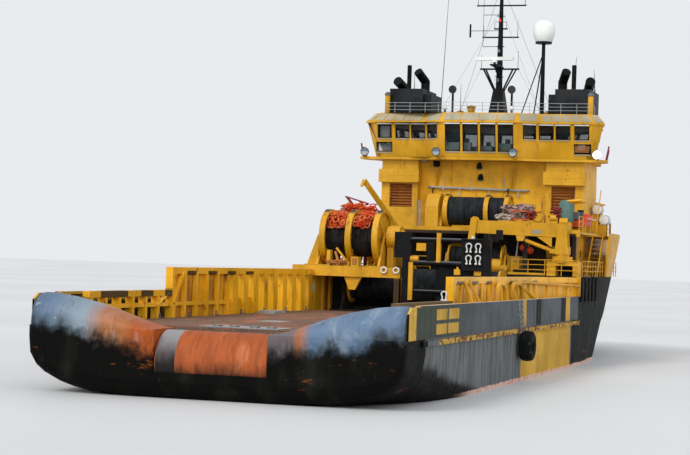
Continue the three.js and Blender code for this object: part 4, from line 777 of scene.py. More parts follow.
def settle(made, finish, body="ship", replaces=(), smooth=35, name=None):
    """Puts an object made in ship metres into the model's frame, on its body."""
    if name:
        made.name = name
    scale = Matrix.Diagonal((MODEL_SCALE,) * 3 + (1,)) @ Matrix.Translation((-MIDSHIP, 0, 0))
    made.data.transform(scale)
    made.data.materials.clear()
    made.data.materials.append(finish_of(finish))
    for polygon in made.data.polygons:
        polygon.material_index = 0
    if smooth:
        made.data.shade_smooth()
        made.data.set_sharp_from_angle(angle=math.radians(smooth))
    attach(made, body)
    FINISHES[finish][0]
    if replaces:
        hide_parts(*replaces)


# Geometry node trees for what repeats


class Grower(Graph):
    """A Geometry Nodes tree with named inputs, built once and used for many pieces."""

    def __init__(self, name, inputs):
        super().__init__(bpy.data.node_groups.new(name, "GeometryNodeTree"))
        face = self.tree.interface
        face.new_socket("Geometry", in_out="INPUT", socket_type="NodeSocketGeometry")
        for label, kind, default in inputs:
            socket = face.new_socket(label, in_out="INPUT", socket_type="NodeSocket" + kind)
            if default is not None:
                socket.default_value = default
        face.new_socket("Geometry", in_out="OUTPUT", socket_type="NodeSocketGeometry")
        entry = self.tree.nodes.new("NodeGroupInput")
        self.given = {socket.name: Value(self, socket) for socket in entry.outputs if socket.name}
        self.exit = self.tree.nodes.new("NodeGroupOutput")

    def random(self, low, high, seed):
        return self.value("FunctionNodeRandomValue", {"data_type": "FLOAT"},
                          {"Min": low, "Max": high, "Seed": seed}, output=1)

    def vector(self, *parts):
        return self.value("ShaderNodeCombineXYZ", None, dict(enumerate(parts)))

    def places(self, count, start, step):
        return self.value("GeometryNodeMeshLine", {"mode": "OFFSET"},
                          {"Count": count, "Start Location": start, "Offset": step})

    def circle(self, corners, radius):
        return self.value("GeometryNodeCurvePrimitiveCircle", {"mode": "RADIUS"},
                          {"Resolution": corners, "Radius": radius})

    def copies(self, points, item, **more):
        return self.value("GeometryNodeInstanceOnPoints", None, {"Points": points, "Instance": item, **more})

    def close(self, geometry, material):
        """Ends the tree: real faces in one material."""
        real = self.value("GeometryNodeRealizeInstances", None, {0: geometry})
        painted = self.value("GeometryNodeSetMaterial", None, {0: real, 2: material})
        self.tree.links.new(painted.socket, self.exit.inputs[0])
        return self

    def grow(self, name, values, base=None):
        """Runs the tree on a base object and returns its result as a plain mesh object."""
        holder = base or bpy.data.objects.new(name + "_base", bpy.data.meshes.new(name))
        if holder.name not in bpy.context.scene.collection.objects:
            bpy.context.scene.collection.objects.link(holder)
        modifier = holder.modifiers.new("grow", "NODES")
        modifier.node_group = self.tree
        for item in self.tree.interface.items_tree:
            if item.in_out == "INPUT" and item.name in values:
                modifier[item.identifier] = values[item.name]
        holder.update_tag()
        bpy.context.view_layer.update()
        ready = holder.evaluated_get(bpy.context.evaluated_depsgraph_get())
        made = bpy.data.objects.new(name, bpy.data.meshes.new_from_object(ready))
        bpy.context.scene.collection.objects.link(made)
        bpy.data.objects.remove(holder)
        return made


def row_tree():
    """Copies an item along a straight row."""
    g = Grower("row_of_items", [
        ("Item", "Object", None), ("Count", "Int", 2), ("Start", "Vector", None), ("Step", "Vector", None),
        ("Material", "Material", None)])
    given = g.given
    points = g.places(given["Count"], given["Start"], given["Step"])
    item = g.value("GeometryNodeObjectInfo", None, {"Object": given["Item"]}, output="Geometry")
    return g.close(g.copies(points, item), given["Material"])


def railing_tree():
    """Handrail over a path: rails at three heights and a stanchion at every step."""
    g = Grower("open_railing", [
        ("Height", "Float", 1.05), ("Pitch", "Float", 1.1), ("Radius", "Float", 0.028),
        ("Material", "Material", None)])
    given = g.given
    path = g.value("GeometryNodeMeshToCurve", None, {0: given["Geometry"]})
    ring = g.circle(6, given["Radius"])
    layers = []
    for share in (1.0, 0.68, 0.36):
        lift = g.vector(0.0, 0.0, given["Height"] * share)
        raised = g.value("GeometryNodeSetPosition", None, {"Geometry": path, "Offset": lift})
        layers.append(g.value("GeometryNodeCurveToMesh", None,
                              {"Curve": raised, "Profile Curve": ring, "Fill Caps": True}))
    stations = g.value("GeometryNodeResampleCurve", {"mode": "LENGTH"},
                       {"Curve": path, "Length": given["Pitch"]})
    post = g.value("GeometryNodeMeshCylinder", None, {
        "Vertices": 6, "Radius": given["Radius"] * 1.15, "Depth": given["Height"]})
    middle = g.vector(0.0, 0.0, given["Height"] * 0.5)
    stood = g.value("GeometryNodeTransform", None, {"Geometry": post, "Translation": middle})
    layers.append(g.copies(stations, stood))
    joined = g.node("GeometryNodeJoinGeometry")
    for layer in layers:
        g.tree.links.new(layer.socket, joined.inputs[0])
    return g.close(Value(g, joined.outputs[0]), given["Material"])


def winding_tree():
    """Turns of rope side by side on a drum, each a little off the last."""
    g = Grower("rope_winding",
               [("Turns", "Int", 10), ("Start", "Vector", None), ("Step", "Vector", None),
                ("Drum", "Float", 1.0), ("Rope", "Float", 0.05), ("Slack", "Float", 0.012),
                ("Seed", "Int", 1), ("Material", "Material", None)])
    given = g.given
    points = g.places(given["Turns"], given["Start"], given["Step"])
    strand = {"Curve": g.circle(40, given["Drum"]), "Profile Curve": g.circle(6, given["Rope"])}
    turn = g.value("GeometryNodeCurveToMesh", None, strand)
    upright = g.value("GeometryNodeTransform", None, {"Geometry": turn, "Rotation": (math.pi / 2, 0, 0)})
    slack, seed = given["Slack"], given["Seed"]
    loose = g.random(1 - slack, slack + 1, seed)
    lean = g.random(slack * -0.6, slack * 0.6, seed + 5)
    turns = g.copies(points, upright, Rotation=g.vector(lean, 0.0, lean * 1.3),
                     Scale=g.vector(loose, 1.0, loose))
    return g.close(turns, given["Material"])


growers = {}


def grower(make_tree):
    if make_tree not in growers:
        growers[make_tree] = make_tree()
    return growers[make_tree]


def row(item, count, start, step, finish):
    """A row of copies of a Piece, as an object in ship metres."""
    source = item.object("item")
    made = grower(row_tree).grow("row", {
        "Item": source, "Count": count, "Start": start, "Step": step, "Material": finish_of(finish)})
    bpy.data.objects.remove(source)
    return made


def railing(path, finish="rail_yellow", height=None, radius=None):
    """An open handrail over a list of points, as an object in ship metres."""
    data = bpy.data.meshes.new("path")
    data.from_pydata([Vector(p) for p in path], [(k, k + 1) for k in range(len(path) - 1)], [])
    base = bpy.data.objects.new("path", data)
    z = sizes()
    return grower(railing_tree).grow("railing", {
        "Height": height or z.rail_height, "Pitch": z.rail_pitch, "Radius": radius or z.rail_radius,
        "Material": finish_of(finish)}, base)


def winding(s, z, start, end, drum, rope, finish, slack=0.012, seed=0):
    """Rope wound round a drum across the ship, as an object in ship metres."""
    pitch = rope * 1.94
    turns = max(2, int((end - start - 2 * rope) / pitch) + 1)
    pitch = (end - start - 2 * rope) / (turns - 1)
    return grower(winding_tree).grow("winding", {
        "Turns": turns, "Start": (s, start + rope, z), "Step": (0, pitch, 0), "Drum": drum, "Rope": rope,
        "Slack": slack, "Seed": sizes().seed + seed, "Material": finish_of(finish)})


# Fittings, in ship metres


class Kit(dict):
    """Pieces of one group, one for each finish that is asked for."""

    def __missing__(self, finish):
        self[finish] = Piece()
        return self[finish]

    def boxes(self, finish, *rows):
        """Boxes of one finish, each from its low and high place along, across and up."""
        for s0, s1, y0, y1, z0, z1 in rows:
            self[finish].box((s0, s1), (y0, y1), (z0, z1))

    def settle(self, name, body="ship", smooth=35):
        for finish, piece in self.items():
            piece.finish(f"{name}_{finish}", finish, body, smooth=smooth)


def blend_table(table, at):
    """Smooth values between the rows of a table whose first column is the place."""
    for low, high in zip(table, table[1:]):
        if at <= high[0]:
            t = (at - low[0]) / (high[0] - low[0])
            return [a + (b - a) * t for a, b in zip(low[1:], high[1:])]
    return list(table[-1][1:])


# Stern

ROLLER = {"s": 1.5, "z": 1.56, "radius": 1.5, "half": 2.68}
HORN_CREST = (
    # y, crest z, where its round begins
    (2.75, 3.1, 0.0), (3.4, 3.24, 0.0), (4.1, 3.5, 0.0), (5.1, 3.87, 0.0), (6.1, 4.16, 0.0), (7.3, 4.42, 0.0),
    (8.3, 4.54, 0.0), (8.7, 4.54, 0.0), (8.88, 4.5, 0.1),
)
HORN_LENGTH = 2.7
SHEATHING_HALF = 7.3
PLANK_SEAM = 0.015
SKIN = 0.0008  # what a shell stands off a solid that shares its plane


def stern_roller():
    half, radius = ROLLER["half"], ROLLER["radius"]
    end = [(0, half + 0.25), (0.18, half + 0.25), (0.18, half), (radius - 0.04, half), (radius, half - 0.04)]
    profile = [(r, -h) for r, h in end] + list(reversed(end))
    piece = Piece().lathe(profile, (ROLLER["s"], 0, ROLLER["z"]), ACROSS, 96)
    piece.finish("roller_shell", "roller_steel", "stern_roller", replaces=["stern_roller"])


def stern_horn(word, side):
    base = DECK_Z + SKIN
    low, high = HORN_CREST[0][0], HORN_CREST[-1][0]
    rings = []
    for k in range(73):
        y = low + (high - low) * k / 72
        crest, start = blend_table(HORN_CREST, y)
        reach = (HORN_LENGTH - start) / 2
        ring = []
        for n in range(29):
            t = math.pi * n / 28
            point = Vector((start + reach * (1 - math.cos(t)), side * y,
                            base + (crest - base) * max(math.sin(t), 0) ** 0.8))
            dent = 0.05 * max(0.0, wave_noise.noise(point * 0.9)) * math.sin(t)
            point.z -= dent * min(1, (crest - base) * 2)
            ring.append(point)
        rings.append(ring)
    piece = Piece().loft(rings)
    piece.finish("horn_shell_" + word, "horn_steel", replaces=["stern_horn_" + word], smooth=50)


def deck_planks():
    count = 2 * round(SHEATHING_HALF / sizes().plank_width)
    pitch = 2 * SHEATHING_HALF / count
    deck = Piece()
    for first, joints in ((0, (3.15, 11.1, 19.1, 27.1, 37)), (1, (3.15, 7.1, 15.1, 23.1, 31.1, 37))):
        plank = Piece()
        for low, high in zip(joints, joints[1:]):
            plank.box((low, high - PLANK_SEAM), (0.008 - pitch / 2, pitch / 2 - 0.008),
                      (DECK_Z, DECK_Z + 0.1))
        start = (0, pitch * (first + 0.5) - SHEATHING_HALF, 0)
        deck.take(row(plank, count // 2, start, (0, 2 * pitch, 0), "deck_timber"))
    deck.finish("deck_planks", "deck_timber", smooth=0, replaces=["deck_sheathing", "deck_sheathing_stern"])


# Winches and reels

DRUMS = (
    # node and body, s, z, flange radius, rope radius, flange places, disc thickness, shaft ends,
    # shaft radius, rope's finish, strand radius
    ("winch_drum_port", 41.2, 4.75, 1.1, 0.85, (2.35, 5.95), 0.12, (2.06, 6.33), 0.17, "wire_rope", 0.045),
    ("winch_drum_starboard", 41.2, 4.75, 1.5, 1.3, (-4.3, 1.75), 0.12, (-4.63, 2.04), 0.17, "wire_rope",
     0.045),
    ("tow_drum", 46.1, 6.95, 0.9, 0.7, (-3.3, 0.4), 0.12, (-3.6, 0.7), 0.16, "wire_rope", 0.04),
    ("store_reel", 41.0, 8.0, 1.85, 1.3, (3.94, 5.79, 7.59), 0.4, (3.49, 7.99), 0.16, "dark_rope", 0.05),
    ("upper_reel", 48.2, 10.15, 1.18, 1.02, (-3.1, -1.7, 1.2), 0.32, (-3.43, 1.63), 0.14, "wire_rope", 0.045),
)


def drum(name, s, z, flange, wound, places, disc, ends, journal, rope, strand):
    body = Piece()
    core = wound - 2 * strand - 0.03
    body.rod((s, ends[0], z), (s, ends[1], z), journal, sides=32)
    for y in places:
        rim = min(0.16, (flange - wound) * 0.6)
        half, web = disc / 2, min(disc / 2, 0.06)
        profile = [(0, -web), (flange - rim, -web), (flange - rim, -half), (flange - 0.015, -half),
                   (flange, -half + 0.015)]
        profile += [(r, -h) for r, h in reversed(profile)]
        body.lathe(profile, (s, y, z), ACROSS, 64)
        for k in range(8):
            turn = k * math.tau / 8
            inner, outer = (Vector((math.cos(turn) * r, 0, math.sin(turn) * r)) + Vector((s, y, z))
                            for r in (journal, flange - rim * 0.7))
            body.bar(inner, outer, 0.06, min(disc, 0.3) * 0.92)
    body.finish(name + "_flanges", "winch_yellow", name, replaces=[name])
    turns = Piece().rod((s, places[0], z), (s, places[-1], z), core, sides=48)
    for k, (low, high) in enumerate(zip(places, places[1:])):
        turns.take(winding(s, z, low + disc / 2, high - disc / 2, wound - strand - 0.015, strand, rope,
                           0.022 if rope == "dark_rope" else 0.01, seed=k))
    turns.finish(name + "_rope", rope, name, smooth=60)


def tangle(centre, spread, count, loop, radius, seed):
    """A heap of rope: count closed loops about loop wide, each wandering about its own middle."""
    chance = random.Random(sizes().seed + seed)
    heap = Piece()
    for _ in range(count):
        middle = Vector(chance.uniform(c - d, c + d) for c, d in zip(centre, spread))
        lean = Matrix.Rotation(chance.uniform(0, math.tau), 3, "Z")
        lean = lean @ Matrix.Rotation(chance.uniform(-0.7, 0.7), 3, "X")
        size = loop * chance.uniform(0.6, 1.15)
        phase, waves = chance.uniform(0, math.tau), chance.choice((2, 3))
        route = []
        for k in range(16):
            t = math.tau * k / 16
            wander = 1 + 0.22 * math.sin(waves * t + phase)
            route.append(middle + lean @ Vector((size * wander * math.cos(t),
                                                 size * wander * math.sin(t) * 0.7,
                                                 0.16 * size * math.sin(waves * t + phase * 2))))
        heap.tube(route, radius, 6, closed=True)
    return heap


def reel_heap():
    """Orange line flaked on top of the store reel's rope, inside its flanges."""
    chance = random.Random(sizes().seed + 40)
    heap = Piece()
    for low, high in ((4.18, 5.55), (6.03, 7.36)):
        for _ in range(95):
            turn = math.radians(chance.uniform(30, 150))
            reach = chance.uniform(1.36, 1.78)
            y = chance.uniform(low + 0.15, high - 0.15)
            size = chance.uniform(0.12, 0.24)
            phase = chance.uniform(0, math.tau)
            route = []
            for k in range(12):
                t = math.tau * k / 12
                bend = turn + size / 1.5 * math.cos(t) * 1.2
                lift = min(1.8, reach + 0.05 * math.sin(2 * t + phase))
                route.append((41 + lift * math.cos(bend), min(high, max(low, y + size * math.sin(t))),
                              8 + lift * math.sin(bend)))
            heap.tube(route, chance.choice((0.03, 0.05)), 6, closed=True)
    heap.finish("reel_line", "orange_rope", "store_reel", smooth=60)


# Tables of what is bolted to the superstructure

DOORS = (
    # s, y, floor z, which way it faces along s (0 when it faces along y)
    (51.5, 5.6, 5.9, -1), (51.5, -5.6, 5.9, -1), (51.5, 1.2, 5.9, -1), (54, 3.4, 8.9, -1),
    (54, -3.4, 8.9, -1), (60, 7, 8.9, 0), (60, -7, 8.9, 0), (62, 6.7, 11.5, 0), (62, -6.7, 11.5, 0),
    (65, 0.8, 8.9, 1),
)
PORTS = (
    # rows of small windows on both sides: s, y and z of the first one's middle, spacing, number
    (56.4, 7, 10.3, 1.7, 2), (61.6, 7, 10.3, 1.6, 2), (55.2, 6.7, 12.95, 1.7, 5), (53.4, 7.3, 7.4, 2.2, 6),
)
FRONT_PORTS = (
    # rows of windows that face forward: s, z, places across the ship
    (65, 10.35, (-5.4, -3.6, -1.8, 2.6, 4.4, 6.0)), (66.4, 7.5, (-5, -3, -1, 1, 3, 5)),
    (63.4, 12.95, (-5.0, -3.3, -1.6, 0.0, 1.6, 3.3, 5.0)),
)
BOAT_DECK_EDGE = ((55.7, 8.6), (57.4, 8.6), (61.5, 8.2), (67.1, 7.2), (67.1, 0))
RAILS = (
    # name, path
    ("boat_deck_port", [(45.12, 8.6, BOAT_DECK_Z), (52.5, 8.6, BOAT_DECK_Z)]),
    ("boat_deck_starboard", [(45.12, -8.6, BOAT_DECK_Z), (46.6, -8.6, BOAT_DECK_Z)]),
    ("boat_deck_fore_port", [(s, y, BOAT_DECK_Z) for s, y in BOAT_DECK_EDGE]),
    ("boat_deck_fore_starboard", [(s, -y, BOAT_DECK_Z) for s, y in BOAT_DECK_EDGE[2:]]),
    ("officer_walk", [(65.05, 7.02, 11.45), (65.5, 7.02, 11.45), (65.5, -6.4, 11.45), (65.05, -6.4, 11.45)]),
    ("fore_deck_starboard", [(43.55, -4.4, FORE_DECK_Z), (43.55, -8.9, FORE_DECK_Z)]),
    ("fore_deck_port", [(43.55, 1.2, FORE_DECK_Z), (43.55, 3.2, FORE_DECK_Z)]),
    ("fore_side_starboard", [(45.2, -8.9, FORE_DECK_Z), (61, -8.75, FORE_DECK_Z)]),
    ("fore_side_port", [(43.55, 8.9, FORE_DECK_Z), (61, 8.75, FORE_DECK_Z)]),
)
ROOF_RAIL = [(52.6, 0), (52.6, 2.5), (53.3, 4.2), (53.3, 7.5), (54.5, 7.8), (58.2, 7.35), (59.3, 6.4),
             (61.1, 4.2), (61.7, 1.6)]


def door(kit, s, y, floor, facing):
    """A weathertight door: leaf, frame, six dogs and a hinge bar."""
    width, tall = 0.78, 1.85
    out = Vector((facing, 0, 0)) if facing else Vector((0, math.copysign(1, y), 0))
    along = Vector((0, 1, 0)) if facing else Vector((1, 0, 0))
    up = Vector(UP)
    foot = Vector((s, y, floor + 0.2))

    def slab(finish, a0, a1, z0, z1, depth):
        low = foot + along * a0 + up * z0
        high = foot + along * a1 + up * z1 + out * depth
        kit[finish].box(*(sorted((a, b)) for a, b in zip(low, high)))

    half = width / 2
    for a in (-half - 0.06, half):
        slab("ship_yellow", a, a + 0.06, -0.06, tall + 0.06, 0.07)
    for z in (-0.06, tall):
        slab("ship_yellow", -half, half, z, z + 0.06, 0.07)
    slab("rail_yellow", -half + 0.01, half - 0.01, 0.01, tall - 0.01, 0.045)
    for z in (0.25, 0.9, 1.55):
        for a in (-half + 0.06, half - 0.12):
            slab("bare_steel", a, a + 0.05, z, z + 0.16, 0.085)
    slab("bare_steel", -0.14, 0.14, 1.02, 1.07, 0.11)


def deck_rails():
    for name, path in RAILS:
        settle(railing(path), "rail_yellow", name=name)
    for word, side in SIDES:
        path = [(s, side * y, ROOF_Z) for s, y in ROOF_RAIL]
        settle(railing(path, "pale_grey", 0.8, radius=0.017), "pale_grey", name="roof_rail_" + word)


def deckhouse_doors():
    kit = Kit()
    for place in DOORS:
        door(kit, *place)
    kit.settle("doors", smooth=0)


def side_windows():
    kit = Kit()
    for side in (1, -1):
        for s0, y, z, step, count in PORTS:
            for k in range(count):
                s = s0 + k * step
                low, high = sorted((side * y, side * (y + 0.03)))
                outer, inner = rounded(0.36, 0.33, 0.12), rounded(0.28, 0.25, 0.08)
                kit["ship_yellow"].frame(outer, inner, 1, low, high, (s, z))
                kit["window_dark"].prism([(s + a, z + b) for a, b in rounded(0.285, 0.255, 0.08)], 1,
                                         *sorted((side * y, side * (y + 0.012))))
    outer, inner, glass = rounded(0.42, 0.36, 0.12), rounded(0.34, 0.28, 0.08), rounded(0.345, 0.285, 0.08)
    for s, z, places in FRONT_PORTS:
        for y in places:
            kit["ship_yellow"].frame(outer, inner, 0, s, s + 0.03, (y, z))
            kit["window_dark"].prism([(y + a, z + b) for a, b in glass], 0, s, s + 0.012)
    kit.settle("side_windows", smooth=0)


def rounded(half_width, half_height, corner):
    """Outline of a rectangle with round corners about the origin."""
    steps = 4
    points = []
    for k, (a, b) in enumerate(((1, 1), (-1, 1), (-1, -1), (1, -1))):
        for n in range(steps + 1):
            t = math.pi / 2 * (k + n / steps)
            points.append((a * (half_width - corner) + corner * math.cos(t),
                           b * (half_height - corner) + corner * math.sin(t)))
    return points


def casing_louvres():
    """Brown posts in front of the slats of the casings."""
    for word, side in SIDES:
        kit = Kit()
        for y in (5.16, 6.84):
            kit["louvre_brown"].box((53.03, 53.11), sorted((side * y, side * (y + 0.05))), (10.51, 12.21))
        kit.settle("louvre_posts_" + word, smooth=0)


# Wheelhouse

AFT_WINDOWS = (
    # middle y, width, low z, high z
    (0.65, 1.02, 14.65, 16.48), (1.95, 1.02, 14.65, 16.48), (4.75, 0.95, 15.6, 16.48),
    (5.95, 0.95, 15.6, 16.48), (7.3, 0.95, 15.6, 16.48), (3.6, 0.75, 15.6, 16.48), (7.35, 1.1, 14.6, 15.2),
)
LEAN = 0.62  # how far the walls lean out between the bridge deck and the eaves
WALL_TURN_S = 54  # corners aft of it belong to the aft wall
PLAN = (
    # s, y, share of the lean across the ship
    (51.6, 2.75, 0.3), (52.5, 4.35, 0.3), (52.5, 8.1, 0.8), (53.1, 8.75, 1), (54.9, 8.35, 1),
    (55.9, 7.95, 0.7), (58.5, 7.8, 0.6), (59.8, 6.9, 0.8), (61.6, 4.6, 0.7), (62.3, 1.6, 0.3),
)


def drawn_in(point, inward):
    """A corner of the plan, drawn in towards the room; each corner has its own share across the ship."""
    s, y, share = point
    return s + inward * 0.75 if s < WALL_TURN_S else s - inward, y - inward * share


def wall_corner(point, z):
    """A corner of the leaning wall's outside at a height."""
    return drawn_in(point, LEAN * (EAVES_Z - z) / (EAVES_Z - BRIDGE_DECK_Z))


def aft_wall_s(y, z):
    """How far forward the wall's aft face stands at a place across the ship."""
    a, b = (wall_corner(point, z) for point in PLAN[:2])
    y = abs(y)
    if y <= a[1]:
        return a[0]
    if y <= b[1]:
        return a[0] + (b[0] - a[0]) * (y - a[1]) / (b[1] - a[1])
    return b[0]


def window_frames():
    """Dark rubber round each aft window, with a pale sill and a lip over it."""
    kit = Kit()
    for y, width, low, high in AFT_WINDOWS:
        for side in (1, -1):
            a, b = side * y - width / 2, side * y + width / 2

            def at(place, z, out):
                return Vector((aft_wall_s(place, z) - out, place, z))

            def strip(finish, y0, y1, z0, z1, thick):
                outer = [at(y0, z0, thick), at(y1, z0, thick), at(y1, z1, thick), at(y0, z1, thick)]
                inner = [at(y0, z0, -0.1), at(y1, z0, -0.1), at(y1, z1, -0.1), at(y0, z1, -0.1)]
                kit[finish].loft([outer, inner])

            edge = 0.055
            strip("fender_rubber", a - edge, b + edge, low - edge, low, 0.02)
            strip("fender_rubber", a - edge, b + edge, high, high + edge, 0.02)
            strip("fender_rubber", a - edge, a, low, high, 0.02)
            strip("fender_rubber", b, b + edge, low, high, 0.02)
            strip("pale_panel", a - 0.03, b + 0.03, low - 0.17, low - edge - 0.02, 0.04)
            if high > 16:
                strip("gel_white", a - 0.05, b + 0.05, high + edge, high + 0.13, 0.09)
    kit.settle("window_trim", smooth=0)


def fascia_panels():
    """Pale panels let into the slope between the eaves and the roof."""
    kit = Kit()
    low_z, high_z = EAVES_Z + 0.16, ROOF_Z - 0.07

    def edge(point, z):
        t = (z - EAVES_Z - 0.1) / (ROOF_Z - EAVES_Z - 0.1)
        return Vector((*drawn_in(point, -0.12 + LEAN * t - 0.015), z))

    runs = ((1, 0, 0.08, 0.92, 1), (1, 2, 0.02, 0.98, 5), (2, 3, 0.1, 0.9, 1), (3, 4, 0.05, 0.95, 2),
            (4, 5, 0.1, 0.9, 1), (5, 6, 0.02, 0.98, 3), (6, 7, 0.05, 0.95, 2), (7, 8, 0.05, 0.95, 3))
    for side in (1, -1):
        for first, second, t0, t1, count in runs:
            for k in range(count):
                u0 = t0 + (t1 - t0) * (k + 0.06) / count
                u1 = t0 + (t1 - t0) * (k + 0.94) / count
                ring = []
                for u, z in ((u0, low_z), (u1, low_z), (u1, high_z), (u0, high_z)):
                    p = edge(PLAN[first], z).lerp(edge(PLAN[second], z), u)
                    ring.append(Vector((p.x, side * p.y, p.z)))
                out = (ring[1] - ring[0]).cross(ring[3] - ring[0]).normalized()
                middle = sum(ring, Vector()) / 4
                if out.dot(middle - Vector((57, 0, 17))) < 0:
                    out = -out
                kit["pale_panel"].loft([[p + out * 0.02 for p in ring], [p - out * 0.06 for p in ring]])
    for k in range(4):
        y0, y1 = -2.6 + k * 1.32, -2.6 + k * 1.32 + 1.22
        low, high = edge(PLAN[0], low_z), edge(PLAN[0], high_z)
        ring = [Vector((low.x, y0, low_z)), Vector((low.x, y1, low_z)), Vector((high.x, y1, high_z)),
                Vector((high.x, y0, high_z))]
        push = Vector((-0.02, 0, 0.02))
        kit["pale_panel"].loft([[p + push for p in ring], [p - push * 3 for p in ring]])
    kit.settle("fascia", smooth=0)


def floodlight(kit, s, y, z, lens):
    """The case and the glass of a round lamp that faces aft."""
    case = "gear_grey" if lens == "lamp_lit" else "frame_black"
    kit[case].lathe([(0, 0.01), (0.29, 0.01), (0.29, -0.03), (0.315, -0.03), (0.32, 0.04), (0.2, 0.33),
                     (0, 0.33)], (s, y, z), ALONG, 24)
    kit[lens].lathe([(0, -0.02), (0.286, -0.01), (0.286, 0.008), (0, 0.008)], (s, y, z), ALONG, 24)
    if lens != "lamp_lit":
        half = [(y + 0.27 * math.cos(t), z + 0.27 * math.sin(t))
                for t in (math.pi * (1 + n / 14) for n in range(15))]
        kit["pale_grey"].prism(half, 0, s - 0.03, s - 0.005)


def bridge_lamps():
    kit = Kit()
    for s, y, lens in ((52.85, 8.75, "lamp_clear"), (51.75, 3.05, "lamp_clear"), (51.75, -2.6, "lamp_clear"),
                       (52.85, -8.45, "lamp_lit")):
        floodlight(kit, s - 0.37, y, 14.5, lens)
    for side in (1, -1):
        kit["oxide_red"].bar((53.1, side * 9.0, 14.1), (53.1, side * 9.2, 15.15), 0.1).bar(
            (53.5, side * 9.0, 14.1), (53.5, side * 9.15, 14.9), 0.08)
        kit["oxide_red"].bar((53.1, side * 9.13, 14.8), (53.5, side * 9.13, 14.8), 0.06)
    for s, y, z in ((53.95, 0.33, 13.85), (53.95, 0.21, 13.02)):
        kit["frame_black"].lathe([(0, 0.0), (0.13, 0.0), (0.2, 0.22), (0.2, 0.42), (0, 0.42)],
                                 (s - 0.3, y, z), (0, 0, -1))
        kit["frame_black"].bar((s + 0.05, y, z + 0.02), (s - 0.34, y, z + 0.02), 0.07)
        kit["lamp_clear"].lathe([(0, 0.421), (0.17, 0.421), (0.1, 0.5), (0, 0.52)], (s - 0.3, y, z),
                                (0, 0, -1))
    kit.settle("bridge_lamps")


def bridge_front_gear():
    """What hangs on the wall under the bridge: a pipe with hangers, hooks, boxes and a ladder."""
    kit = Kit()
    kit["pale_grey"].tube([(53.98, 4.15, 12.05), (53.8, 4.0, 12.04), (53.8, -3.2, 11.89),
                           (53.98, -3.35, 11.89)], 0.075, 10)
    for k, y in enumerate((3.01, 1.81, 0.91, -0.44, -1.55, -2.59)):
        low, high = (11.55, 12.0) if k % 2 else (11.95, 12.75)
        kit["pale_grey"].bar((53.98, y, high), (53.78, y, high), 0.05)
        kit["pale_grey"].bar((53.78, y, high), (53.78, y, low), 0.06)
        kit.boxes("pale_grey", (53.72, 53.82, y - 0.07, y + 0.07, low - 0.1, low + 0.04))
    for a, b in (((3.3, 13.53), (3.63, 12.05)), ((-2.33, 13.4), (-2.08, 12.02))):
        kit["rail_yellow"].bar((53.75, *a), (53.9, *b), 0.13)
        kit["rail_yellow"].bar((53.72, *a), (54.0, a[0], a[1] + 0.04), 0.1)
    kit.boxes("frame_black", (53.55, 54.0, 3.37, 3.77, 13.53, 14.04))
    kit.boxes("pale_grey", (53.6, 54.0, 4.3, 4.68, 13.84, 14.02))
    for y, z in ((3.77, 11.82), (3.67, 10.94), (-1.86, 11.87), (-1.86, 11.4)):
        kit["frame_black"].tube([(53.98, y, z + 0.12), (53.7, y, z + 0.1), (53.62, y, z - 0.1),
                                 (53.74, y, z - 0.24)], 0.05, 8)
    for y, low, high in ((2.2, 9.6, 10.9), (-0.9, 9.5, 10.8), (-4.3, 9.4, 11.2)):
        kit.boxes("gear_yellow", (53.86, 54.0, y - 0.28, y + 0.28, low, low + (high - low) * 0.6))
        kit.boxes("frame_black", (53.84, 53.88, y - 0.16, y + 0.16, low + 0.15, low + (high - low) * 0.42))
        kit["pale_grey"].rod((53.92, y, low + (high - low) * 0.6), (53.92, y, high), 0.03, sides=6)
    for y in (5.1, 4.74):
        kit["gel_white"].tube([(53.98, y, 11.06), (53.72, y, 11.1), (53.72, y, 8.9)], 0.03, 6)
    rung = Piece().rod((53.72, 4.74, 9.05), (53.72, 5.1, 9.05), 0.02, sides=6)
    settle(row(rung, 7, (0, 0, 0), (0, 0, sizes().rung_pitch), "gel_white"), "gel_white",
           name="bridge_ladder_rungs")
    for y in (-1.4, 0.55, 2.5):
        kit.boxes("ship_yellow", (53.9, 54.02, y, y + 0.06, 11.5, 13.9))
    for z in (14.68, 14.8, 14.92, 15.04):
        s = aft_wall_s(7.3, z)
        kit.boxes("louvre_brown", (s - 0.05, s + 0.03, -7.82, -6.8, z, z + 0.07))
    for y0, y1, low, high in ((6.84, 7.86, 14.62, 15.18), (7.0, 7.72, 15.62, 16.45)):
        s = aft_wall_s(7.3, low) + 0.24
        kit.boxes("gel_white", (s, s + 0.04, y0, y1, low, high))
    for y0, y1, top in ((-2.3, -1.2, 15.2), (-0.9, 0.3, 15.0), (0.7, 2.4, 15.25)):
        kit.boxes("console_teal", (52.25, 52.75, y0, y1, BRIDGE_DECK_Z, top))
        kit.boxes("console_grey", (52.2, 52.5, y0 + 0.15, y0 + 0.45, top, top + 0.3))
    kit.settle("bridge_front")


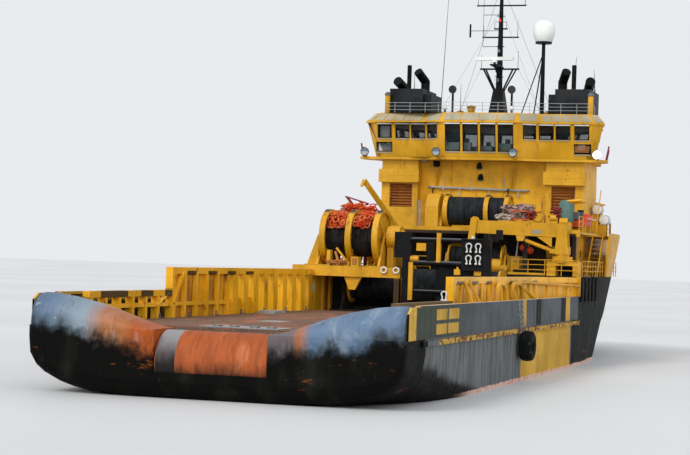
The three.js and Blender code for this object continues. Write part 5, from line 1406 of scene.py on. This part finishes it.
def roof_gear():
    """Searchlights, lamps, vents and whip aerials on the wheelhouse roof."""
    kit = Kit()
    for y in (2.57, -1.85):
        kit["frame_black"].rod((54, y, ROOF_Z), (54, y, 19.0), 0.08, sides=12)
        kit["frame_black"].lathe([(0, 0.02), (0.26, 0.02), (0.28, -0.03), (0.3, -0.03), (0.3, 0.02),
                                  (0.175, 0.42), (0, 0.45)], (53.87, y, 19.25), ALONG, 28)
        kit["window_dark"].lathe([(0, -0.02), (0.255, -0.01), (0.255, 0.018), (0, 0.018)], (53.87, y, 19.25),
                                 ALONG, 28)
    for y in (3.06, -1.93):
        kit["gear_grey"].rod((53.7, y, ROOF_Z), (53.7, y, 17.75), 0.08, sides=12)
        kit["gel_white"].lathe([(0, -0.02), (0.14, 0), (0.16, 0.14), (0.1, 0.25), (0, 0.28)],
                               (53.7, y, 17.75))
    for y, s, tall, lean in ((4.2, 56.9, 27.4, -0.04), (-5.9, 56.2, 21.9, -0.1), (6.6, 58, 20.8, 0.0),
                             (3.3, 59.5, 20.3, 0.0), (-7.2, 58.3, 21.2, 0.05)):
        base = 19.36 if abs(y) > 4.9 and s < 58.4 else ROOF_Z
        kit["frame_black"].rod((s, y, base), (s, y, base + 0.35), 0.05, sides=8)
        kit["frame_black"].rod((s, y, base + 0.3), (s, y + lean * (tall - base), tall), 0.03, 0.011, sides=6)
    for s, y in ((60, 3.4), (60, -3.4), (55.5, 1.5)):
        kit["ship_yellow"].lathe([(0, 0), (0.35, 0), (0.35, 0.07), (0.1, 0.17), (0, 0.17)], (s, y, 18.06))
    for y in (7.6, -7.6):
        kit["gear_grey"].lathe([(0, 0), (0.23, 0), (0.23, 0.14), (0.12, 0.26), (0, 0.28)], (54.2, y, 18.8))
    kit.settle("roof_gear")


def mast_gear():
    """Lights, aerials, halyards and stays on the two masts."""
    kit = Kit()
    for z in (20.2, 22.4, 24.7, 27.2):
        kit.boxes("frame_black", (57.45, 57.75, -0.07, 0.07, z - 0.04, z))
        kit["lamp_clear" if z != 24.7 else "lamp_red"].lathe(
            [(0, 0), (0.09, 0), (0.09, 0.2), (0.05, 0.26), (0, 0.26)], (57.55, 0, z))
    for y, z, tall in ((1.4, 21.2, 1.1), (-1.4, 21.2, 1.4), (1.3, 23.6, 0.9), (-1.3, 23.6, 1.3),
                       (1.8, 26, 1.0), (-1.8, 26, 1.6)):
        kit["mast_black"].rod((58, y, z), (58, y, z + tall), 0.022, 0.01, sides=6)
    for z in (20.6, 22.9, 25.2):
        kit["mast_black"].ring((58, 0, z), 0.3, 0.018, 2, 14)
    for end, z in ((2.35, 24.1), (1.35, 25.3), (1.35, 22.9)):
        kit["mast_black"].rod((58, 0, z), (58, end, z), 0.022, sides=6)
    kit["mast_black"].rod((58, 2.35, 23.6), (58, 2.35, 24.6), 0.07, sides=8)
    kit["mast_black"].rod((58, 1.35, 22.9), (58, 1.35, 27.0), 0.014, sides=6)
    for side in (1, -1):
        kit["bare_steel"].rod((58, side * 0.1, 27.4), (61, side * 3.9, ROOF_Z), 0.014, sides=5)
        kit["bare_steel"].rod((58, side * 0.1, 25.6), (55, side * 3.9, ROOF_Z), 0.012, sides=5)
        kit["bare_steel"].rod((58, side * 1.45, 21.2), (58.6, side * 3.4, ROOF_Z), 0.01, sides=5)
    kit.boxes("mast_black", (57.85, 58.15, -0.5, 0.5, 24.2, 24.28))
    kit["mast_black"].tube([(57.9, -0.45, 24.28), (57.9, -0.45, 24.75), (57.9, 0.45, 24.75),
                            (57.9, 0.45, 24.28)], 0.02, 6)
    for k in range(13):
        z = 17.6 + k * 0.3
        kit["mast_black"].rod((57.2, -0.2, z), (57.2, 0.2, z), 0.015, sides=5)
    kit.settle("mast_gear")
    dome = [(0, 0), (0.6, 0), (0.63, 0.03), (0.78, 0.45), (0.81, 0.68), (0.83, 0.9), (0.79, 1.12),
            (0.72, 1.3), (0.6, 1.46), (0.45, 1.56), (0.24, 1.64), (0, 1.66)]
    shell = Piece().lathe(dome, (57, -3.5, 23.1), UP, 40)
    shell.finish("radome_shell", "gel_white", replaces=["radome"], smooth=60)


# Gear on the working deck


def shackle(piece, place, size):
    """A bow shackle seen flat on, with its bow above and its pin below."""
    centre = Vector(place)
    arc = [(-0.38 * math.cos(t), 0.38 * math.sin(t))
           for t in (math.radians(-35 + 250 * n / 14) for n in range(15))]
    line = [(-0.24, -0.8), (-0.25, -0.4)] + arc + [(0.25, -0.4), (0.24, -0.8)]
    piece.tube([centre + Vector((0, a, b)) * size for a, b in line], size * 0.1, 10)
    for side in (-1, 1):
        inner, outer = (centre + Vector((0, side * y, -0.82)) * size for y in (0.14, 0.42))
        piece.rod(inner, outer, size * 0.13, sides=12)


def gantry_gear():
    """Blocks and posts between the rails of the black portal, and the plate behind it."""
    kit = Kit()
    kit["gel_white"].ball((37.5, -3.12, 8.14), 0.12)
    kit.boxes("frame_black", (37.35, 37.75, -5.02, -4.64, 8.06, 8.69))
    kit["frame_black"].bar((37.55, -4.2, 8.3), (37.55, -4.8, 8.35), 0.14)
    for y0, y1 in ((-2.38, -1.98), (-3.76, -3.29)):
        kit.boxes(
            "gear_yellow", (37.3, 37.6, y0, y1, 5.74, 6.1), (37.42, 37.58, y0 + 0.13, y1 - 0.13, 6.1, 6.3))
    kit["gear_yellow"].rod((37.45, 0.42, 6.69), (37.45, 1.05, 6.69), 0.19, sides=18)
    kit.boxes(
        "gear_yellow", (37.25, 37.5, -0.09, 0.53, 7.21, 7.71), (37.3, 37.55, -1.04, -0.78, 6.45, 8.39),
        (37.2, 37.4, 0.73, 1.01, 4.03, 6.47))
    kit.boxes(
        "frame_black", (37.35, 37.75, -0.57, -0.13, 6.45, 7.95), (37.6, 37.68, -4.3, -0.71, 4.08, 6.4),
        (37.2, 37.36, -4.02, -2.42, 6.02, 6.1), (37.2, 37.36, -4.02, -2.42, 7.98, 8.06))
    for y in (2.6, 1.78):
        kit["gel_white"].ring((36.99, y, 5.89), 0.18, 0.05, 0, 20, 8)
    kit.settle("gantry_gear")


def gantry_shackles():
    panel, single = Piece(), Piece()
    for y in (-2.95, -3.56):
        for z in (7.6, 6.84):
            shackle(panel, (37.12, y, z), 0.45)
    panel.finish("panel_shackles", "gel_white")
    shackle(single, (12.6, -7.5, 4.93), 0.36)
    single.rod((12.6, -7.5, 4.55), (12.6, -7.5, 4.68), 0.05)
    single.finish("rail_shackle", "gel_white")


def deck_fittings():
    """Hatches, a steel plate, wire stops and ring bolts along the working deck."""
    kit = Kit()
    kit.boxes("bare_steel", (12.9, 14.9, 1.2, 2.6, 3.15, 3.165))
    kit.boxes("pale_grey", (25.6, 27.6, 5.95, 7.0, 3.15, 3.32))
    for s0, s1, y0, y1, finish in ((36.42, 37.15, 7.45, 7.75, "rail_yellow"),
                                   (36.45, 37.9, 8.05, 8.1, "frame_black"),
                                   (37.85, 39.3, 7.5, 7.7, "rail_yellow"),
                                   (39.35, 39.75, 7.4, 7.8, "rail_yellow"),
                                   (39.75, 40.95, 7.56, 7.64, "louvre_brown"),
                                   (40.95, 41.4, 7.4, 7.8, "rail_yellow")):
        kit.boxes(finish, (s0, s1, y0, y1, DECK_Z, 5.4))
    kit.boxes("pale_panel", (37.82, 37.85, 7.5, 7.7, 4.3, 4.9))
    outer = -7.86
    kit.boxes("frame_dark", (3.3, 13.2, 7.9, 7.98, DECK_Z, 4.15))
    kit["rail_yellow"].tube([(28.85, outer + 0.1, 5.6), (29.1, outer, 5.5), (36.4, outer, 5.4),
                             (43.36, -9.05, 5.25)], 0.08, 10)
    for s0, s1 in ((22.1, 24.5), (26.1, 29.1)):
        y = -8.1
        kit["rail_yellow"].tube([(s0, y, DECK_Z), (s0, y, 4.85), (s0 + 0.25, y, 5.25), (s0 + 0.7, y, 5.42),
                                 (s1 - 0.7, y, 5.42), (s1 - 0.25, y, 5.25), (s1, y, 4.85), (s1, y, 4.3)],
                                0.13, 12)
    for a, b in (((15.73, 5.59), (14.55, 4.5)), ((16.86, 5.59), (16.31, 4.5)),
                 ((29.44, 5.45), (31.35, 4.42))):
        kit["rail_yellow"].bar((a[0], -7.75, a[1]), (b[0], -8.5, b[1]), 0.13)
    kit.boxes("rail_yellow", (43.3, 43.4, -9.12, -8.85, 4.56, 5.85))
    for s in range(7, 36, 4):
        for y in (7.15, -7.15):
            kit["gear_grey"].box((s, s + 0.3), sorted((y, y + math.copysign(0.14, -y))), (3.15, 3.2))
            kit["gear_grey"].ring((s + 0.15, y + 0.02, 3.3), 0.12, 0.025, 1, 12)
    for s in (5.2, 16.5, 28.5):
        for side in (1, -1):
            for k in (0, 0.7):
                kit["frame_black"].lathe([(0, 0), (0.17, 0), (0.17, 0.5), (0.22, 0.52), (0.22, 0.58),
                                          (0, 0.6)], (s + k, side * 8.25, DECK_Z))
            kit["frame_black"].box((s - 0.25, s + 0.95), sorted((side * 8.0, side * 8.5)),
                                   (DECK_Z, DECK_Z + 0.05))
    kit.settle("deck_fittings")


def hanging_tyre():
    """The big worn tyre over the starboard side, and the chains that hold it."""
    s, y, z = 24.2, -9.12, 2.02
    profile = []
    for n in range(17):
        t = math.pi * n / 16
        profile.append((0.6 + 0.25 * math.sin(t) ** 0.6, 0.375 - 0.375 * math.cos(t)))
    profile += [(0.34, 0.66), (0.30, 0.5), (0.30, 0.25), (0.34, 0.09)]
    Piece().lathe(profile, (s, y, z), (0, -1, 0), 48).finish(
        "fender_tyre", "fender_rubber", replaces=["side_fender"], smooth=50)
    chain = Piece()
    for side in (-1, 1):
        top = Vector((s + side * 0.5, -9.06, 4.5))
        low = Vector((s + side * 0.25, -9.25, z + 0.3))
        for k in range(14):
            middle = top.lerp(low, (k + 0.5) / 14)
            link = []
            for n in range(8):
                t = math.tau * n / 8
                wide = Vector((0.045 * math.cos(t), 0, 0)) if k % 2 else Vector((0, 0.045 * math.cos(t), 0))
                link.append(middle + wide + Vector((0, 0, 0.11 * math.sin(t))))
            chain.tube(link, 0.02, 5, closed=True)
    chain.finish("fender_chains", "bare_steel", smooth=60)


def forecastle_fenders():
    """Rubber over the strips on the forecastle's side, and the ropes they hang by."""
    for word, side in SIDES:
        kit = Kit()
        for k in range(5):
            s = 43.9 + 1.4 * k
            kit["fender_rubber"].box((s - 0.03, s + 0.63), sorted((side * 8.99, side * 9.17)), (4.2, 5.83))
            for t in (0.12, 0.48):
                kit["net_rope"].rod((s + t, side * 9.06, 5.82), (s + t, side * 9.0, 5.95), 0.02, sides=5)
        kit.settle("fender_strips_" + word)


# Crane, boats, rafts and gear on the forecastle


def crane_gear():
    s = 44.25
    boom = Kit()
    boom.boxes("frame_black", (s - 0.3, s - 0.285, -3.4, -2.9, 8.0, 8.5))
    boom.boxes("pale_panel", (s - 0.295, s - 0.281, -6.3, -5.6, 8.62, 8.9))
    boom["frame_black"].lathe([(0, -0.33), (0.16, -0.33), (0.16, 0.33), (0, 0.33)], (s, -1.65, 9.15), ALONG,
                              20)
    boom["gear_yellow"].prism([(-6.0, 8.42), (-7.0, 8.42), (-7.0, 7.76)], 0, 43.94, 43.985)
    boom.settle("boom_gear", "crane_boom")
    jib = Kit()
    jib["frame_black"].rod((s, -2.0, 7.35), (s, -1.72, 8.6), 0.07, sides=12)
    jib.boxes("frame_black", (s - 0.15, s + 0.15, -2.12, -1.85, 7.02, 7.2))
    jib.settle("jib_gear", "crane_jib")


def rescue_craft():
    """The rescue boat with round tubes, a cover over its stern and a line along its side."""
    s0, y, keel = 46.9, -8.05, 9.1
    hull = Piece()
    stations = ((0.0, 0.6, 0.12), (0.8, 0.66, 0.03), (1.8, 0.66, 0.0), (3.1, 0.56, 0.05), (3.8, 0.34, 0.24),
                (4.2, 0.08, 0.5))
    rings = []
    for along, half, low in stations:
        ring = []
        for n in range(13):
            t = math.pi * n / 12
            ring.append(Vector((s0 + along, y + half * math.cos(t),
                                keel + 0.62 - (0.62 - low) * math.sin(t) ** 0.7)))
        rings.append(ring)
    hull.loft(rings)
    hull.finish("boat_hull", "boat_orange", replaces=["rescue_boat"], smooth=60)
    tube = Piece()
    half_route = [(0.02, 0.62, 0.72), (1.0, 0.65, 0.7), (2.2, 0.64, 0.72), (3.1, 0.52, 0.8),
                  (3.75, 0.3, 0.93)]
    route = half_route + [(4.08, 0.0, 1.0)] + [(a, -b, c) for a, b, c in reversed(half_route)]
    route = [(s0 + a, y + b, keel + c) for a, b, c in route]
    tube.tube(route, 0.15, 14)
    tube.finish("boat_tubes", "boat_orange", smooth=60)
    kit = Kit()
    kit.boxes("console_grey", (s0 + 1.35, s0 + 1.95, y - 0.24, y + 0.24, keel + 0.5, keel + 1.18))
    kit.boxes("window_dark", (s0 + 1.9, s0 + 1.97, y - 0.22, y + 0.22, keel + 1.1, keel + 1.34))
    kit.boxes("gear_grey", (s0, s0 + 0.3, y - 0.17, y + 0.17, keel + 0.55, keel + 1.15))
    for k in range(9):
        a = 0.3 + k * 0.38
        kit["gel_white"].tube([(s0 + a, y - 0.79, keel + 0.74), (s0 + a + 0.19, y - 0.795, keel + 0.66),
                               (s0 + a + 0.38, y - 0.79, keel + 0.74)], 0.012, 5)
    kit.settle("boat_gear", smooth=30)


RAFT_S = 55.9
RAFT_PROFILE = (
    (0, 0), (0.24, 0), (0.3, 0.03), (0.35, 0.1), (0.36, 0.2), (0.36, 0.6), (0.345, 0.605), (0.345, 0.645),
    (0.36, 0.65), (0.36, 1.05), (0.35, 1.15), (0.3, 1.22), (0.24, 1.25), (0, 1.25))


def life_rafts():
    for name, y, z in (("inner", -7.98, 10.72), ("outer", -8.5, 9.98)):
        shell = Piece().lathe(RAFT_PROFILE, (RAFT_S, y, z), ALONG, 36)
        shell.finish("raft_shell_" + name, "gel_white", replaces=["life_raft_" + name])
        straps = Piece()
        for a in (0.32, 0.93):
            straps.lathe([(0.355, a - 0.03), (0.372, a - 0.03), (0.372, a + 0.03), (0.355, a + 0.03)],
                         (RAFT_S, y, z), ALONG, 36)
        straps.finish("raft_straps_" + name, "frame_black")


def lump(centre, half, seed):
    """A covered heap: a ball squared off and crumpled; half is its size from the middle outwards."""
    piece = Piece().ball((0, 0, 0), 1, sides=40)
    for vert in piece.mesh.verts:
        squared = Vector(math.copysign(abs(c) ** 0.75, c) for c in vert.co)
        crumple = 1 + 0.3 * wave_noise.noise(squared * 1.5 + Vector((seed, 0, 0)))
        crumple += 0.1 * wave_noise.noise(squared * 5 + Vector((seed, 3, 0)))
        vert.co = Vector(c + h * v * crumple for c, h, v in zip(centre, half, squared))
    return piece


def forecastle_clutter():
    """Net, rope, covered gear and machinery on the decks round the crane and the reel."""
    for make, name, finish, *heap in (
            (tangle, "net_heap", "net_rope", (46.25, -4.15, 10.12), (0.22, 0.9, 0.46), 170, 0.34, 0.035, 3),
            (tangle, "pale_coil", "pale_rope", (46.0, -3.3, 9.75), (0.15, 0.4, 0.15), 22, 0.3, 0.045, 13),
            (tangle, "red_coil", "oxide_red", (46.1, -5.15, 9.9), (0.15, 0.3, 0.25), 26, 0.26, 0.04, 17),
            (tangle, "dark_coil", "dark_rope", (45.4, -5.4, 6.12), (0.2, 0.95, 0.1), 60, 0.33, 0.045, 5),
            (tangle, "line_heap", "orange_rope", (43.4, 6.2, 9.95), (0.25, 1.1, 0.35), 70, 0.36, 0.045, 9),
            (tangle, "chain_heap", "louvre_brown", (38.5, 6.15, 6.3), (0.2, 0.6, 0.12), 40, 0.24, 0.04, 21),
            (lump, "covered_heap", "tarpaulin", (46.3, -7.5, 10.05), (0.42, 0.5, 0.85), 4),
            (tangle, "brown_coil", "oxide_red", (46.1, -6.85, 10.15), (0.12, 0.3, 0.3), 26, 0.26, 0.045, 31),
            (lump, "covered_box", "tarpaulin", (49.6, -6.6, 9.35), (0.6, 0.55, 0.5), 9)):
        make(*heap).finish(name, finish, smooth=60)
    kit = Kit()
    rack = kit["gear_yellow"]
    rack.box((45.65, 46.85), (-5.4, -2.9), (9.42, 9.5))
    for s in (45.7, 46.8):
        for y in (-5.35, -4.15, -2.95):
            rack.bar((s, y, BOAT_DECK_Z), (s, y, 9.44), 0.09)
    kit.boxes("gear_yellow", (46.1, 46.75, -6.0, -5.25, BOAT_DECK_Z, 9.95),
              (45.75, 46.5, -7.9, -7.1, BOAT_DECK_Z, 9.5), (45.8, 46.4, -7.0, -6.4, BOAT_DECK_Z, 9.8),
              (43.42, 43.56, -6.7, -4.2, 5.88, 6.02))
    rack.rod((46.0, -5.62, 9.8), (46.7, -5.62, 9.8), 0.3, sides=20)
    rack.rod((45.9, -7.7, 9.5), (45.9, -7.15, 9.5), 0.28, sides=20)
    rack.rod((45.9, -6.9, 9.75), (45.9, -6.5, 9.75), 0.22, sides=20)
    kit.boxes(
        "winch_yellow", (38.2, 38.85, 4.7, 5.2, PLATFORM_TOP, 6.7),
        (38.3, 38.8, 6.65, 6.9, PLATFORM_TOP, 7.1))
    kit.boxes("louvre_brown", (38.15, 38.2, 4.8, 5.1, 6.2, 6.6))
    kit["louvre_brown"].bar((38.3, 6.0, 6.1), (38.6, 6.4, 7.0), 0.14)
    rack.box((38.35, 38.75), (5.35, 6.4), (PLATFORM_TOP, 6.35)).bar((38.5, 5.4, 6.2), (38.5, 6.3, 7.25), 0.12)
    kit["orange_rope"].tube([(45.62, -3.84, 10.18), (45.62, -5.03, 10.14), (45.6, -5.03, 9.6),
                             (45.6, -3.84, 9.6)], 0.045, 8, closed=True)
    for y in (2.78, 2.59, 2.39):
        kit["pale_panel"].rod((45.25, y, BOAT_DECK_Z), (45.2, y, 10.75), 0.03, sides=8)
    kit["pale_grey"].rod((45.4, -4.47, 8.72), (45.55, -4.25, 6.7), 0.05, sides=8)
    kit["rail_yellow"].rod((52, -8.62, BOAT_DECK_Z), (52, -8.9, 12.0), 0.035, sides=8)
    for y, z in ((-4.78, 7.7), (-5.25, 7.51)):
        kit["boat_orange"].ball((45.42, y, z), 0.25, (1, 1, 1.1))
        kit["pale_rope"].rod((45.42, y, z), (45.4, -4.95, 8.7), 0.02, sides=6)
    # Painted shade: a black box on the forecastle deck stands in for a dark recess by the crane.
    kit.boxes("frame_black", (45.05, 45.6, -8.4, -7.4, FORE_DECK_Z, 6.86))
    rack.lathe([(0, -0.3), (0.22, -0.3), (0.26, -0.2), (0.26, 0.3), (0, 0.3)], (44.2, -3.78, 6.22), ALONG, 24)
    rack.box((44.0, 44.5), (-3.95, -3.6), (FORE_DECK_Z, 6.2))
    for s in (43.45, 43.85):
        for a, b in (((7.35, 10.82), (5.75, 10.37)), ((7.35, 10.27), (5.75, 9.83)),
                     ((7.3, 10.82), (6.7, 10.1)), ((6.3, 10.5), (5.8, 9.86))):
            kit["oxide_red"].bar((s, *a), (s, *b), 0.08)
        for y, top in ((7.2, 10.3), (5.85, 9.9)):
            kit["oxide_red"].bar((s + 0.05, y, FORE_DECK_Z), (s + 0.05, y, top), 0.1)
    for y, z in ((7.2, 10.75), (5.85, 10.3)):
        kit["oxide_red"].bar((43.45, y, z), (43.9, y, z), 0.09)
    kit.settle("deck_clutter", smooth=30)
    jib = Piece().bar((44.9, 6.45, 12.0), (46.93, 4.6, 8.9), 0.3, 0.34)
    jib.bar((44.9, 6.45, 12.05), (44.75, 6.6, 11.6), 0.18)
    jib.finish("leaning_jib", "winch_yellow", smooth=0)


# Finish of every solid that shows as it is

NODE_FINISHES = {
    "hull_paint": ("hull", "forecastle", "rudder_port", "rudder_starboard"),
    "ship_yellow": ("deckhouse_lower", "deckhouse_upper", "boat_deck", "wheelhouse_roof"),
    "gear_yellow": ("bow_bulwark", "reel_stand", "upper_reel_stand", "crane_ram_barrel",
                    "crane_pedestal", "crane_column", "crane_boom", "crane_jib", "rescue_davit", "raft_rack",
                    "stairs_port", "stairs_starboard"),
    "cargo_rail_paint": ("cargo_rail_port", "cargo_rail_starboard"),
    "winch_yellow": ("tow_drum_stand",),
    "frame_dark": ("winch_frame",),
    "platform_paint": ("winch_platform",),
    "strake_paint": ("bulwark_port", "bulwark_starboard"),
    "bare_steel": ("tow_pin_plate", "crane_ram_rod"),
    "frame_black": ("shackle_gantry", "anchor_port", "anchor_starboard"),
    "mast_black": ("main_mast", "radome_mast"),
    "funnel_paint": ("funnel_port", "funnel_starboard"),
    "wheelhouse_paint": ("wheelhouse",),
    "window_glass": ("wheelhouse_glass",),
    "console_grey": ("bridge_consoles",),
    "gel_white": ("radar_scanner",),
    "gear_grey": ("windlass",),
    "bronze": ("propeller_port", "propeller_starboard"),
}


def paint_solids():
    for finish, names in NODE_FINISHES.items():
        for name in names:
            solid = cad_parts[name]
            solid.data.materials.clear()
            solid.data.materials.append(finish_of(finish))


# Stage

# solved from the hull's edges: place in model metres, angles in degrees, lens in millimetres
CAMERA = {"place": (-56.519, -14.603, 3.271), "yaw": 17.1196, "pitch": 0.99026, "roll": 1.89425,
          "lens": 94.152}
SKY = ((0.83, 0.85, 0.88, 1), 0.98)
LAMPS = (
    # name, power, width in degrees, colour, where it shines from
    ("key", 1.35, 20, (1, 0.97, 0.92), (-60, 34, 62)), ("fill", 0.95, 60, (1, 0.98, 0.95), (-60, -24, 13)),
)


def make_floor():
    half = sizes().floor_size / 2
    data = bpy.data.meshes.new("floor")
    data.from_pydata([(-half, -half, 0), (half, -half, 0), (half, half, 0), (-half, half, 0)], [],
                     [(0, 1, 2, 3)])
    data.materials.append(finish_of("studio_floor"))
    floor = bpy.data.objects.new("floor", data)
    bpy.context.scene.collection.objects.link(floor)


def make_light():
    world = bpy.data.worlds.new("studio")
    world.use_nodes = True
    sky = world.node_tree.nodes["Background"].inputs
    sky["Color"].default_value, sky["Strength"].default_value = SKY
    bpy.context.scene.world = world
    for name, power, soft, colour, place in LAMPS:
        lamp = bpy.data.lights.new(name, "SUN")
        lamp.energy, lamp.angle, lamp.color = power, math.radians(soft), colour
        made = bpy.data.objects.new(name, lamp)
        made.location = place
        made.rotation_euler = (-Vector(place)).to_track_quat("-Z", "Y").to_euler()
        bpy.context.scene.collection.objects.link(made)


def make_camera():
    yaw, pitch, roll = (math.radians(CAMERA[k]) for k in ("yaw", "pitch", "roll"))
    ahead = Vector((math.cos(pitch) * math.cos(yaw), math.cos(pitch) * math.sin(yaw), math.sin(pitch)))
    right = Vector((math.sin(yaw), -math.cos(yaw), 0))
    above = right.cross(ahead)
    turned_right = right * math.cos(roll) + above * math.sin(roll)
    turned_up = above * math.cos(roll) - right * math.sin(roll)
    lens = bpy.data.cameras.new("camera")
    lens.lens, lens.sensor_width, lens.sensor_fit = CAMERA["lens"], 36, "HORIZONTAL"
    lens.clip_start, lens.clip_end = 0.5, 2000
    camera = bpy.data.objects.new("camera", lens)
    axes = Matrix((turned_right, turned_up, -ahead)).transposed()
    camera.matrix_world = Matrix.Translation(CAMERA["place"]) @ axes.to_4x4()
    bpy.context.scene.collection.objects.link(camera)
    bpy.context.scene.camera = camera


# Operators


class TUG_OT_stage(bpy.types.Operator):
    """Camera, soft light, pale background and a floor at the waterline"""

    bl_idname = "tug.stage"
    bl_label = "Stage"

    def execute(self, context):
        make_camera()
        make_light()
        make_floor()
        context.scene.view_settings.view_transform = "Standard"
        return {"FINISHED"}


class TUG_OT_paint(bpy.types.Operator):
    """Paint and bare metal on every solid that shows as it is"""

    bl_idname = "tug.paint"
    bl_label = "Paint the solids"

    def execute(self, context):
        paint_solids()
        return {"FINISHED"}


class TUG_OT_stern(bpy.types.Operator):
    """Stern roller, the horns on both sides of it and the planked deck"""

    bl_idname = "tug.stern"
    bl_label = "Stern and deck"

    def execute(self, context):
        stern_roller()
        for word, side in SIDES:
            stern_horn(word, side)
        deck_planks()
        deck_fittings()
        return {"FINISHED"}


class TUG_OT_winches(bpy.types.Operator):
    """Drums and reels with their rope, and the line stowed on the store reel"""

    bl_idname = "tug.winches"
    bl_label = "Winches and reels"

    def execute(self, context):
        for spec in DRUMS:
            drum(*spec)
        reel_heap()
        gantry_shackles()
        gantry_gear()
        return {"FINISHED"}


class TUG_OT_deckhouse(bpy.types.Operator):
    """Handrails, doors, side windows and louvres of the deckhouse"""

    bl_idname = "tug.deckhouse"
    bl_label = "Deckhouse"

    def execute(self, context):
        deck_rails()
        deckhouse_doors()
        side_windows()
        casing_louvres()
        bridge_front_gear()
        return {"FINISHED"}


class TUG_OT_wheelhouse(bpy.types.Operator):
    """Window trim, roof slope panels and lamps of the wheelhouse, and the gear on its roof"""

    bl_idname = "tug.wheelhouse"
    bl_label = "Wheelhouse"

    def execute(self, context):
        window_frames()
        fascia_panels()
        bridge_lamps()
        roof_gear()
        return {"FINISHED"}


class TUG_OT_masts(bpy.types.Operator):
    """Lights, aerials and stays of the masts, and the radome"""

    bl_idname = "tug.masts"
    bl_label = "Masts"

    def execute(self, context):
        mast_gear()
        return {"FINISHED"}


class TUG_OT_sides(bpy.types.Operator):
    """Tyre and rubber strips along the ship's sides"""

    bl_idname = "tug.sides"
    bl_label = "Fenders"

    def execute(self, context):
        hanging_tyre()
        forecastle_fenders()
        return {"FINISHED"}


class TUG_OT_boats(bpy.types.Operator):
    """Rescue boat, life rafts, crane fittings and loose gear on the forecastle"""

    bl_idname = "tug.boats"
    bl_label = "Boats, crane and loose gear"

    def execute(self, context):
        crane_gear()
        rescue_craft()
        life_rafts()
        forecastle_clutter()
        return {"FINISHED"}


OPERATORS = (TUG_OT_stage, TUG_OT_paint, TUG_OT_stern, TUG_OT_winches, TUG_OT_deckhouse, TUG_OT_wheelhouse,
             TUG_OT_masts, TUG_OT_sides, TUG_OT_boats)


class TUG_PT_panel(bpy.types.Panel):
    """Buttons that dress the ship, and the values they use"""

    bl_idname = "TUG_PT_panel"
    bl_label = "Tug"
    bl_space_type = "VIEW_3D"
    bl_region_type = "UI"
    bl_category = "Tug"

    def draw(self, context):
        column = self.layout.column()
        for group in (context.scene.tug_paints, context.scene.tug_sizes):
            for name in group.__annotations__:
                column.prop(group, name)
        for operator in OPERATORS:
            column.operator(operator.bl_idname)


CLASSES = (TugPaints, TugSizes, *OPERATORS, TUG_PT_panel)


def register():
    for made in CLASSES:
        bpy.utils.register_class(made)
    bpy.types.Scene.tug_paints = PointerProperty(type=TugPaints)
    bpy.types.Scene.tug_sizes = PointerProperty(type=TugSizes)


def unregister():
    del bpy.types.Scene.tug_sizes
    del bpy.types.Scene.tug_paints
    for made in reversed(CLASSES):
        bpy.utils.unregister_class(made)


def main():
    register()
    for operator in OPERATORS:
        group, name = operator.bl_idname.split(".")
        getattr(getattr(bpy.ops, group), name)()


if __name__ == "__main__":
    main()
